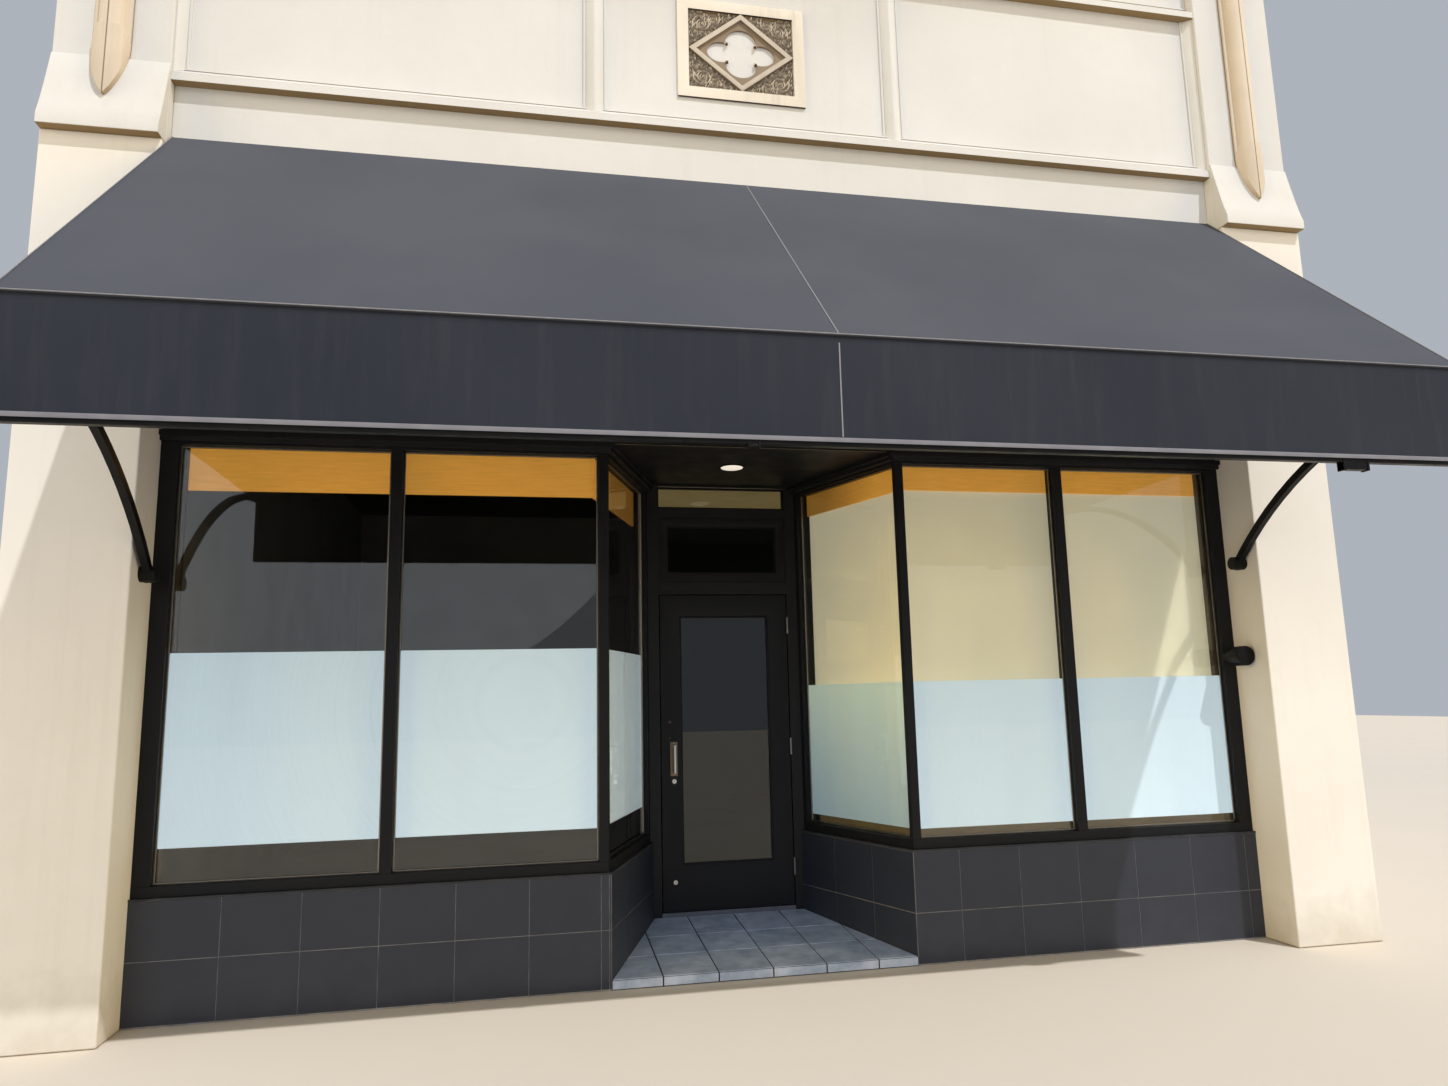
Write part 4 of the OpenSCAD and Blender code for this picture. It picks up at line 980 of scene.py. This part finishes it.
# %% Beads of the door and transom
DOOR_GLASS = (-0.259, 0.379, 0.461, 2.149)
SASH_GLASS = (-0.339, 0.459, 2.457, 2.797)
TOP_LIGHT = HEAD_X + (2.927, 3.077)
door_bead = bead("door_bead", *DOOR_GLASS, 0.0175, 0.012, 0.014)
finish_piece(door_bead, black_frame, "door")
transom_beads = [bead("bead", *pane, 0.037, 0.010, 0.012) for pane in (SASH_GLASS, TOP_LIGHT)]
finish_piece(joined(transom_beads, "transom_beads"), black_frame)


# %% [markdown]
# Thin bright strips run along the recess head, painted highlights for the edges of its bars: once over the
# top light, once across the mouth, and as two lines along each splay's cornice. Brown linings close the
# window ends behind the glass. Behind the top light a board closes the space over the lowered ceiling.

# %% Painted highlight strips, linings and the board behind the top light
CORNICE_FOOT, CORNICE_STEP, CORNICE_OUT, CORNICE_LOW_OUT = 3.039, 3.065, 0.028, 0.0096
HIGHLIGHT_STRIP_T, HIGHLIGHT_STRIP_EDGE, HIGHLIGHT_STRIP_SHORT = 0.0015, 0.0004, 0.02
LINING_W = 0.034
# Bright strips stand for the highlights on the recess head's edges.
highlight_strips = [plate("highlight_strip", *HEAD_X, -0.004, 0.0, 3.0765, 3.0805, 0.0008)]
for side in SIDES:
    for z, out in ((CORNICE_FOOT, CORNICE_LOW_OUT), (CORNICE_STEP, CORNICE_OUT)):
        y0, y1 = sorted((side * out, side * (out + HIGHLIGHT_STRIP_T)))
        across = (HIGHLIGHT_STRIP_SHORT, SPLAY_LEN - HIGHLIGHT_STRIP_SHORT)
        line = plate("highlight_strip", *across, y0, y1, z + 0.001, z + 0.0035, HIGHLIGHT_STRIP_EDGE)
        place_on_splay(line, side)
        highlight_strips.append(line)
highlight_strips.append(plate("highlight_strip", -0.80, 0.92, -1.0838, -1.0820, 3.0955, 3.0985, HIGHLIGHT_STRIP_EDGE))
finish_piece(joined(highlight_strips, "edge_highlight_strips"), bead_metal)
linings = []
for side in SIDES:
    across = sorted((side * (HALF - END_POST), side * (HALF - END_POST - LINING_W)))
    linings.append(
        plate("lining", *across, GLASS_Y + 0.012, GLASS_Y + 0.050, SILL_TOP[side], GLASS_TOP, 0.002)
    )
finish_piece(joined(linings, "window_linings"), lining_brown)
top_board = plate("top_light_board", *HEAD_X, 0.085, 0.095, 2.93, 3.075, 0.001)
finish_piece(top_board, head_board)


# %% [markdown]
# The awning is one taut cloth. It hangs from the wall rail over sloping bars, turns at the front rail and
# drops as a straight valance. Between the bars it sinks a little, and its lower edge has a pale hem.

# %% Awning cloth
AWNING_HALF = 3.285
AWNING_TOP = Vector((0, WALL_Y, 4.750))
FOLD = Vector((0, -2.916, 3.138))
VALANCE_FOOT = 2.650
CLOTH_T = 0.002
BAYS = 4
RAFTER_INSET = 0.027
BAY_W = 2 * (AWNING_HALF - RAFTER_INSET) / BAYS
SAG = 0.006
VALANCE_BACK = 0.002
SLOPE_LEN = math.hypot(FOLD.y - AWNING_TOP.y, FOLD.z - AWNING_TOP.z)
VALANCE_LEN = FOLD.z - VALANCE_FOOT
CLOTH_LEN = SLOPE_LEN + VALANCE_LEN
SLOPE_NORMAL = Vector((0, FOLD.z - AWNING_TOP.z, AWNING_TOP.y - FOLD.y)).normalized()


def cloth_point(u, v):
    """A place on the cloth: u from end to end, v from the wall down over the fold to the hem."""
    x = -AWNING_HALF + 2 * AWNING_HALF * u
    length = v * CLOTH_LEN
    if length <= SLOPE_LEN:
        t = length / SLOPE_LEN
        bay = ((x + AWNING_HALF - RAFTER_INSET) / BAY_W) % 1.0
        sag = SAG * math.sin(math.pi * bay) ** 2 * math.sin(math.pi * t) ** 0.8
        y = AWNING_TOP.y + (FOLD.y - AWNING_TOP.y) * t
        z = AWNING_TOP.z + (FOLD.z - AWNING_TOP.z) * t
        return Vector((x, y, z)) - SLOPE_NORMAL * (sag + CLOTH_T)
    t = (length - SLOPE_LEN) / VALANCE_LEN
    ripple = 0.0022 * math.sin(x * 9.0 + 1.3) * math.sin(math.pi * min(t, 0.95))
    ripple += 0.0012 * math.sin(x * 23.0) * t
    return Vector((x, FOLD.y + CLOTH_T + VALANCE_BACK + ripple * 0.8, FOLD.z - VALANCE_LEN * t))


def new_grid(name, columns, rows):
    """A flat grid, one unit wide and high, whose points are then moved one by one."""
    bpy.ops.object.select_all(action="DESELECT")
    bpy.ops.mesh.primitive_grid_add(x_subdivisions=columns, y_subdivisions=rows, size=1)
    return new_piece(name)


def make_awning_cloth():
    columns, slope_rows, drop_rows = 132, 30, 12
    stops = [i / slope_rows * SLOPE_LEN for i in range(slope_rows + 1)]
    stops += [SLOPE_LEN + 0.004] + [SLOPE_LEN + i / drop_rows * VALANCE_LEN for i in range(1, drop_rows + 1)]
    rows = len(stops) - 1
    piece = new_grid("awning_cloth", columns, rows)
    sky_lit_slope = piece.data.attributes.new("sky_lit_slope", "FLOAT", "POINT")
    for vertex in piece.data.vertices:
        row = round((0.5 - vertex.co.y) * rows)
        sky_lit_slope.data[vertex.index].value = 1.0 if row <= slope_rows else 0.0
        vertex.co = cloth_point(vertex.co.x + 0.5, stops[row] / CLOTH_LEN)
    piece.data.update()
    apply_modifier(piece, "SOLIDIFY", thickness=CLOTH_T, offset=-1)
    return piece


cloth = make_awning_cloth()
finish_piece(cloth, awning_cloth, angle=50)
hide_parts("awning_cover", "awning_valance")

# %% [markdown]
# Each end of the awning is a four-sided cloth, almost a triangle, laced to the end bar. It starts as a
# flat grid and sinks inwards a few millimetres in its middle.

# %% Awning ends
END_FOOT, END_DROP = 3.089, 0.012
END_INSET, END_DIP = 0.003, 0.005
END_BACK_Y = WALL_Y - 0.002
END_LEN = abs(FOLD.y + 0.010 - WALL_Y)
END_RISE = AWNING_TOP.z - END_DROP - END_FOOT
END_FRONT_RISE = FOLD.z - END_DROP - END_FOOT


def make_end(side):
    piece = new_grid("awning_end_" + SIDES[side], 20, 16)
    for vertex in piece.data.vertices:
        s = vertex.co.x + 0.5
        t = vertex.co.y + 0.5
        rise = END_RISE + (END_FRONT_RISE - END_RISE) * s
        dip = END_DIP * math.sin(math.pi * s) * math.sin(math.pi * t)
        vertex.co = (side * (AWNING_HALF - END_INSET - dip), END_BACK_Y - END_LEN * s, END_FOOT + rise * t)
    piece.data.update()
    open_edit(piece)
    bpy.ops.mesh.normals_make_consistent(inside=False)
    close_edit()
    apply_modifier(piece, "SOLIDIFY", thickness=CLOTH_T, offset=0)
    return piece


ends = [make_end(side) for side in SIDES]
for end in ends:
    set_tone(end, 0.0, "sky_lit_slope")
    finish_piece(end, awning_cloth, angle=50)
    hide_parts("awning_ends")


# %% [markdown]
# The hem is a pale tape along the valance's foot, and a stitched seam runs down the middle, where two
# widths of cloth meet. Slim cords are sewn along the fold and the sloping edges. A dark rod under the fold is
# a painted shadow. All lie just proud of the cloth.

# %% Hem, seam, cords and the painted shadow under the fold
HEM_T, HEM_W = 0.0015, 0.020
SEAM_X, SEAM_W, SEAM_T, SEAM_OUT = 0.010, 0.006, 0.001, 0.0012
SEAM_ROWS, SEAM_END = 40, 0.992
FOLD_CORD, EDGE_CORD, FOLD_SHADOW_R = 0.0032, 0.0024, 0.0045
UNDER_FOLD = Vector((0, 0.0005, -0.0085))


def make_seam():
    piece = new_grid("awning_seam", 1, SEAM_ROWS)
    middle_u = 0.5 + SEAM_X / (2 * AWNING_HALF)
    for vertex in piece.data.vertices:
        place = cloth_point(middle_u, (0.5 - vertex.co.y) * SEAM_END)
        vertex.co = place + Vector((vertex.co.x * SEAM_W, -SEAM_OUT, SEAM_OUT))
    piece.data.update()
    apply_modifier(piece, "SOLIDIFY", thickness=SEAM_T, offset=0)
    return piece


def piping(name, start, end, radius):
    """A slim round cord sewn along a straight edge of the cloth."""
    run = end - start
    middle = (start + end) / 2
    bpy.ops.object.select_all(action="DESELECT")
    bpy.ops.mesh.primitive_cylinder_add(vertices=10, radius=radius, depth=run.length, location=middle)
    bpy.context.object.rotation_euler = run.to_track_quat("Z", "Y").to_euler()
    return new_piece(name)


hem_z = (VALANCE_FOOT, VALANCE_FOOT + HEM_W)
hem = plate("awning_hem", -AWNING_HALF, AWNING_HALF, FOLD.y, FOLD.y + HEM_T, *hem_z, 0.0004)
finish_piece(hem, hem_tape)
finish_piece(make_seam(), seam_thread, angle=60)
fold_left = Vector((-AWNING_HALF, FOLD.y, FOLD.z))
fold_right = Vector((AWNING_HALF, FOLD.y, FOLD.z))
pipings = [piping("cord", fold_left, fold_right, FOLD_CORD)]
for side, corner in ((-1, fold_left), (1, fold_right)):
    wall_end = Vector((side * AWNING_HALF, END_BACK_Y, AWNING_TOP.z - 0.001))
    pipings.append(piping("cord", corner, wall_end, EDGE_CORD))
finish_piece(joined(pipings, "awning_piping"), seam_thread, angle=60)
# A dark rod under the fold: a painted shadow.
fold_shadow_piece = piping("fold_shadow_strip", fold_left + UNDER_FOLD, fold_right + UNDER_FOLD, FOLD_SHADOW_R)
finish_piece(fold_shadow_piece, fold_shadow, angle=60)

# %% [markdown]
# The cloth and both ends are soft. They are stretched over their bars, so nothing hangs or folds.


# %% [markdown]
# The downlight in the recess ceiling has a slim dark ring, already in the solid, and a domed milky lens.
# The lens is the lower cap of a sphere, cut off with bisect and pressed flat.

# %% Downlight lens
LENS_AT = Vector((0.020, -0.575, 3.091))
LENS_R, LENS_RIM_Z, LENS_FLATNESS = 0.074, 3.0905, 0.12
bpy.ops.object.select_all(action="DESELECT")
bpy.ops.mesh.primitive_uv_sphere_add(segments=48, ring_count=24, radius=LENS_R, location=LENS_AT)
lens = new_piece("downlight_lens")
cut_away(lens, (0, 0, LENS_AT.z), (0, 0, 1))
for vertex in lens.data.vertices:
    vertex.co.z = LENS_RIM_Z + (vertex.co.z - LENS_AT.z) * LENS_FLATNESS
finish_piece(lens, lens_white, angle=60)


# %% [markdown]
# The cast panel's four corners are carved with leafy scrolls. A scroll is a small ring spun by quarter
# turns, each on a smaller radius, so that it winds inwards to a round eye. Leaves fill the ground between
# the scrolls. One corner is laid out, and the other three mirror it.

# %% A scroll and a leaf
SCROLL_QUARTERS, SCROLL_SHRINK, SCROLL_W, EYE_R = 11, 0.86, 0.2, 0.13


def make_scroll():
    """A roll that winds inwards, about one unit in radius, flat in Y and round in X and Z."""
    bpy.ops.object.select_all(action="DESELECT")
    bpy.ops.mesh.primitive_circle_add(vertices=8, radius=SCROLL_W / 2, location=(1, 0, 0))
    piece = new_piece("scroll")
    open_edit(piece)
    centre = Vector((0, 0, 0))
    for _ in range(SCROLL_QUARTERS):
        bpy.ops.mesh.spin(steps=4, angle=math.pi / 2, center=centre, axis=(0, 1, 0))
        ring = [v.co.copy() for v in bmesh.from_edit_mesh(piece.data).verts if v.select]
        tip = sum(ring, Vector()) / len(ring)
        centre = tip + (centre - tip) * SCROLL_SHRINK
        bpy.ops.transform.resize(value=(SCROLL_SHRINK ** 0.5,) * 3, center_override=tip)
    bpy.ops.mesh.select_all(action="SELECT")
    bpy.ops.mesh.fill_holes(sides=0)
    bpy.ops.mesh.primitive_uv_sphere_add(segments=10, ring_count=6, radius=EYE_R, location=centre)
    bpy.ops.mesh.select_all(action="SELECT")
    bpy.ops.mesh.normals_make_consistent(inside=False)
    close_edit()
    low = Vector((min(v.co[i] for v in piece.data.vertices) for i in range(3)))
    high = Vector((max(v.co[i] for v in piece.data.vertices) for i in range(3)))
    piece.data.transform(Matrix.Translation(-(low + high) / 2))
    return piece


def make_leaf():
    """A small pointed leaf along X, one unit long, with a keel on its face."""
    bpy.ops.object.select_all(action="DESELECT")
    bpy.ops.mesh.primitive_uv_sphere_add(segments=8, ring_count=6, radius=0.5, rotation=(0, math.pi / 2, 0))
    piece = new_piece("leaf")
    for vertex in piece.data.vertices:
        taper = 1 - (2 * vertex.co.x) ** 2
        vertex.co.z *= 0.25 + 0.75 * taper
        if abs(vertex.co.z) < 0.02:
            vertex.co.y *= 1.35
    return piece


# %% [markdown]
# Each scroll has its place, radius and turn. The leaves stand in staggered rows, shifted a little at random,
# and sweep round the nearest scroll. One that would lie on a scroll or a border is left out.

# %% Laying out the carving
ORNAMENT_Z = 5.652
DIAMOND_X, DIAMOND_Z = 0.343, 0.2705
DIAMOND_SPAN = 1 / math.hypot(1 / DIAMOND_X, 1 / DIAMOND_Z)
GROUND_Y = -1.237
SCROLL_DEPTH = 0.18
SCROLLS = [
    (0.2620, 0.1900, 0.060, 20),
    (0.1700, 0.2230, 0.042, 200),
    (0.0950, 0.2420, 0.026, 30),
    (0.0430, 0.2560, 0.012, 250),
    (0.3060, 0.1080, 0.034, 110),
    (0.2180, 0.1290, 0.019, 300),
    (0.3200, 0.0560, 0.019, 160),
    (0.3130, 0.2410, 0.020, 70),
]
LEAF_STEP, LEAF_ROW, LEAF_SHIFT, LEAF_SLIM = 0.0165, 0.94, 0.003, 0.46
FIELD_MARGIN = 0.007


def relief(master, x, z, size, degrees, depth, width=1.0):
    """A turned and sized copy of a carved shape, set on the panel's ground."""
    mesh = master.data.copy()
    turned_by = Matrix.Rotation(math.radians(degrees), 4, "Y")
    sized = Matrix.Diagonal((size, depth, size * width, 1))
    mesh.transform(Matrix.Translation((x, GROUND_Y, z)) @ turned_by @ sized)
    piece = bpy.data.objects.new("relief", mesh)
    scene.collection.objects.link(piece)
    return piece


def inside_corner(x, z):
    """Whether a place lies in the upper right corner field, clear of its borders."""
    from_diamond = (x / DIAMOND_X + z / DIAMOND_Z - 1) * DIAMOND_SPAN
    return min(from_diamond, DIAMOND_X - x, DIAMOND_Z - z) > FIELD_MARGIN


scroll_master, leaf_master = make_scroll(), make_leaf()
carvings = [relief(scroll_master, x, z, size, turn, SCROLL_DEPTH) for x, z, size, turn in SCROLLS]
for row in range(1, 18):
    for column in range(1, 22):
        x = (column + 0.5 * (row % 2)) * LEAF_STEP + random.uniform(-LEAF_SHIFT, LEAF_SHIFT)
        z = row * LEAF_STEP * LEAF_ROW + random.uniform(-LEAF_SHIFT, LEAF_SHIFT)
        near = min(SCROLLS, key=lambda scroll: math.hypot(x - scroll[0], z - scroll[1]) / scroll[2])
        reach = math.hypot(x - near[0], z - near[1]) / near[2]
        between = near[2] > 0.03 and 0.55 < reach < 0.80
        if not inside_corner(x, z) or (reach < 1.05 and not between):
            continue
        outward = math.degrees(math.atan2(-(z - near[1]), x - near[0]))
        size = random.uniform(0.023, 0.030)
        turn = outward + random.uniform(35, 75)
        carvings.append(relief(leaf_master, x, z, size, turn, random.uniform(0.030, 0.036), LEAF_SLIM))
corner = joined(carvings, "panel_carving")
corners = [corner]
for flip_x, flip_z in ((-1, 1), (1, -1), (-1, -1)):
    copy = bpy.data.objects.new("panel_carving", corner.data.copy())
    scene.collection.objects.link(copy)
    copy.data.transform(Matrix.Diagonal((flip_x, 1, flip_z, 1)))
    if flip_x * flip_z < 0:
        copy.data.flip_normals()
    corners.append(copy)
for master in (scroll_master, leaf_master):
    bpy.data.objects.remove(master)
carving = joined(corners, "panel_carving")
carving.data.transform(Matrix.Translation((0, 0, ORNAMENT_Z)))
finish_piece(carving, carved_stone, angle=60)

# %% [markdown]
# Where two lobes of the panel's opening meet, the cusp ends in a small bud, a blunt cone with soft edges.

# %% Buds on the cusps
BUD_X, BUD_Y, BUD_Z = 0.094, -1.252, 0.064
BUD_R, BUD_TIP_R, BUD_LEN, BUD_EDGE = 0.015, 0.005, 0.020, 0.003
buds = []
for sx in SIDES:
    for sz in (-1, 1):
        bpy.ops.object.select_all(action="DESELECT")
        bpy.ops.mesh.primitive_cone_add(
            vertices=12, radius1=BUD_R, radius2=BUD_TIP_R, depth=BUD_LEN,
            location=(sx * BUD_X, BUD_Y, ORNAMENT_Z + sz * BUD_Z), rotation=UPRIGHT_TURN,
        )
        bud = new_piece("bud")
        open_edit(bud)
        bpy.ops.mesh.bevel(offset=BUD_EDGE, segments=2, affect="EDGES")
        close_edit()
        buds.append(bud)
finish_piece(joined(buds, "cusp_buds"), cast_stone, angle=60)


# %% [markdown]
# The door's small fittings ride with it: a viewer at eye height, a plug over the pull, a black shield
# round the upper cylinder, keyways, and screws on the pull's plate. The round ones are outlines that are
# spun, as on a lathe.

# %% Small fittings of the door
def turned(name, outline, x, z, y=0.0, segments=32):
    """A small round fitting that faces the street: an outline of (radius, height) spun about Y."""
    mesh = bpy.data.meshes.new(name)
    points = [(radius, -out, 0) for radius, out in outline]
    mesh.from_pydata(points, [(i, i + 1) for i in range(len(points) - 1)], [])
    piece = bpy.data.objects.new(name, mesh)
    scene.collection.objects.link(piece)
    open_edit(piece)
    bpy.ops.mesh.spin(steps=segments, angle=2 * math.pi, center=(0, 0, 0), axis=(0, 1, 0))
    bpy.ops.mesh.select_all(action="SELECT")
    bpy.ops.mesh.remove_doubles(threshold=0.00002)
    bpy.ops.mesh.normals_make_consistent(inside=False)
    close_edit()
    piece.data.transform(Matrix.Translation((x, y, z)))
    return piece


PULL_X, PULL_Z, PULL_SCREW = -0.311, 1.168, 0.104
VIEWER_AT, PLUG_AT = (-0.336, 1.417), (-0.337, 1.309)
LOCK_ZS = (1.0175, 0.353)
PLATE_FACE_Y, LOCK_FACE_Y = -0.004, -0.009
VIEWER = [(0, 0.0022), (0.0045, 0.0020), (0.0055, 0.0035), (0.0075, 0.0040), (0.0090, 0.0030), (0.0095, 0.0)]
VIEWER_LENS = [(0, 0.0035), (0.0025, 0.0032), (0.0042, 0.0020)]
SCREW = [(0, 0.0012), (0.0012, 0.0012), (0.0016, 0.0018), (0.0030, 0.0016), (0.0038, 0.0)]
CORE = [(0, 0.0008), (0.0065, 0.0008), (0.0072, 0.0002), (0.0080, 0.0)]
dull_bits = [turned("viewer", VIEWER, *VIEWER_AT), turned("plug", SCREW, *PLUG_AT)]
finish_piece(joined(dull_bits, "door_viewer"), worn_plate, "door", 35)
bright_bits = []
for sz in (-1, 1):
    bright_bits.append(turned("screw", SCREW, PULL_X, PULL_Z + sz * PULL_SCREW, PLATE_FACE_Y))
for z in LOCK_ZS:
    bright_bits.append(turned("core", CORE, PULL_X, z, LOCK_FACE_Y))
finish_piece(joined(bright_bits, "door_bright_fittings"), satin_steel, "door", 35)

# %% [markdown]
# The shield is a plate whose foot is drawn in to a half round, once its faces are subdivided so that there
# are points to move. The keyways are slim dark plates on the faces of the two cylinders.

# %% Lock shield and keyways
SHIELD_HALF, SHIELD_T, SHIELD_FOOT, SHIELD_TOP = 0.023, 0.0035, 0.984, 1.0525
ROUND_FROM_Z = 1.012
KEYWAY_HALF, KEYWAY_RISE = 0.0011, 0.0045
KEYWAY_FRONT_Y, KEYWAY_BACK_Y = -0.0102, -0.0096
across = (PULL_X - SHIELD_HALF, PULL_X + SHIELD_HALF)
shield = plate("shield", *across, -SHIELD_T, 0.0, SHIELD_FOOT, SHIELD_TOP, 0.0012)
open_edit(shield)
bpy.ops.mesh.subdivide(number_cuts=3)
close_edit()
for vertex in shield.data.vertices:
    sink = max(0.0, (ROUND_FROM_Z - vertex.co.z) / (ROUND_FROM_Z - SHIELD_FOOT))
    vertex.co.x = PULL_X + (vertex.co.x - PULL_X) * math.sqrt(max(0.05, 1 - sink * sink))
dark_bits = [shield]
for z in LOCK_ZS:
    across = (PULL_X - KEYWAY_HALF, PULL_X + KEYWAY_HALF)
    upward = (z - KEYWAY_RISE, z + KEYWAY_RISE)
    dark_bits.append(plate("keyway", *across, KEYWAY_FRONT_Y, KEYWAY_BACK_Y, *upward, 0.0002))
dark_bits.append(turned("viewer_lens", VIEWER_LENS, *VIEWER_AT))
finish_piece(joined(dark_bits, "door_dark_fittings"), gasket, "door", 35)

# %% [markdown]
# The lamp beside the right window gets a bright joint ring, a bezel and a dark lens. Two black brackets
# hang under the awning's hem rail.

# %% Lamp trim and hem brackets
LAMP_AT, LAMP_FRONT, LAMP_JOINT_Y = (3.228, 1.770), -1.266, -1.1540
JOINT_RING = [(0.0415, 0.0), (0.0440, 0.0004), (0.0446, 0.0020), (0.0440, 0.0036), (0.0415, 0.0040)]
BEZEL = [(0.050, 0.0), (0.051, 0.0035), (0.056, 0.0045), (0.061, 0.0030), (0.063, -0.004)]
LENS = [(0.0, 0.0016), (0.02, 0.0014), (0.04, 0.0008), (0.051, 0.0)]
ring = turned("lamp_ring", JOINT_RING, *LAMP_AT, LAMP_JOINT_Y)
finish_piece(ring, satin_steel, angle=40)
lamp_trim = [turned("bezel", BEZEL, *LAMP_AT, LAMP_FRONT, 48), turned("lens", LENS, *LAMP_AT, LAMP_FRONT, 48)]
finish_piece(joined(lamp_trim, "lamp_trim"), awning_metal, angle=40)

HEM_RAIL_Y, HEM_RAIL_FOOT = -2.889, 2.632
BRACKET_HALF, CHEEK_HALF, CHEEK_T, CHEEK_DOWN, CHEEK_UP = 0.019, 0.022, 0.012, 0.004, 0.020
BRACKETS = ((-0.382, 0.056, 0.012), (2.600, 0.146, 0.036))


def block(name, x, half_x, half_y, z0, z1, edge):
    """A plate centred on x and on the hem rail."""
    return plate(name, x - half_x, x + half_x, HEM_RAIL_Y - half_y, HEM_RAIL_Y + half_y, z0, z1, edge)


brackets = []
for x, width, drop in BRACKETS:
    foot = HEM_RAIL_FOOT - drop
    brackets.append(block("bracket", x, width / 2, BRACKET_HALF, foot, HEM_RAIL_FOOT, 0.003))
    for sx in SIDES:
        cheek = x + sx * (width / 2 - CHEEK_T / 2)
        top = HEM_RAIL_FOOT + CHEEK_UP
        brackets.append(block("cheek", cheek, CHEEK_T / 2, CHEEK_HALF, foot - CHEEK_DOWN, top, 0.002))
finish_piece(joined(brackets, "hem_brackets"), awning_metal, angle=20)
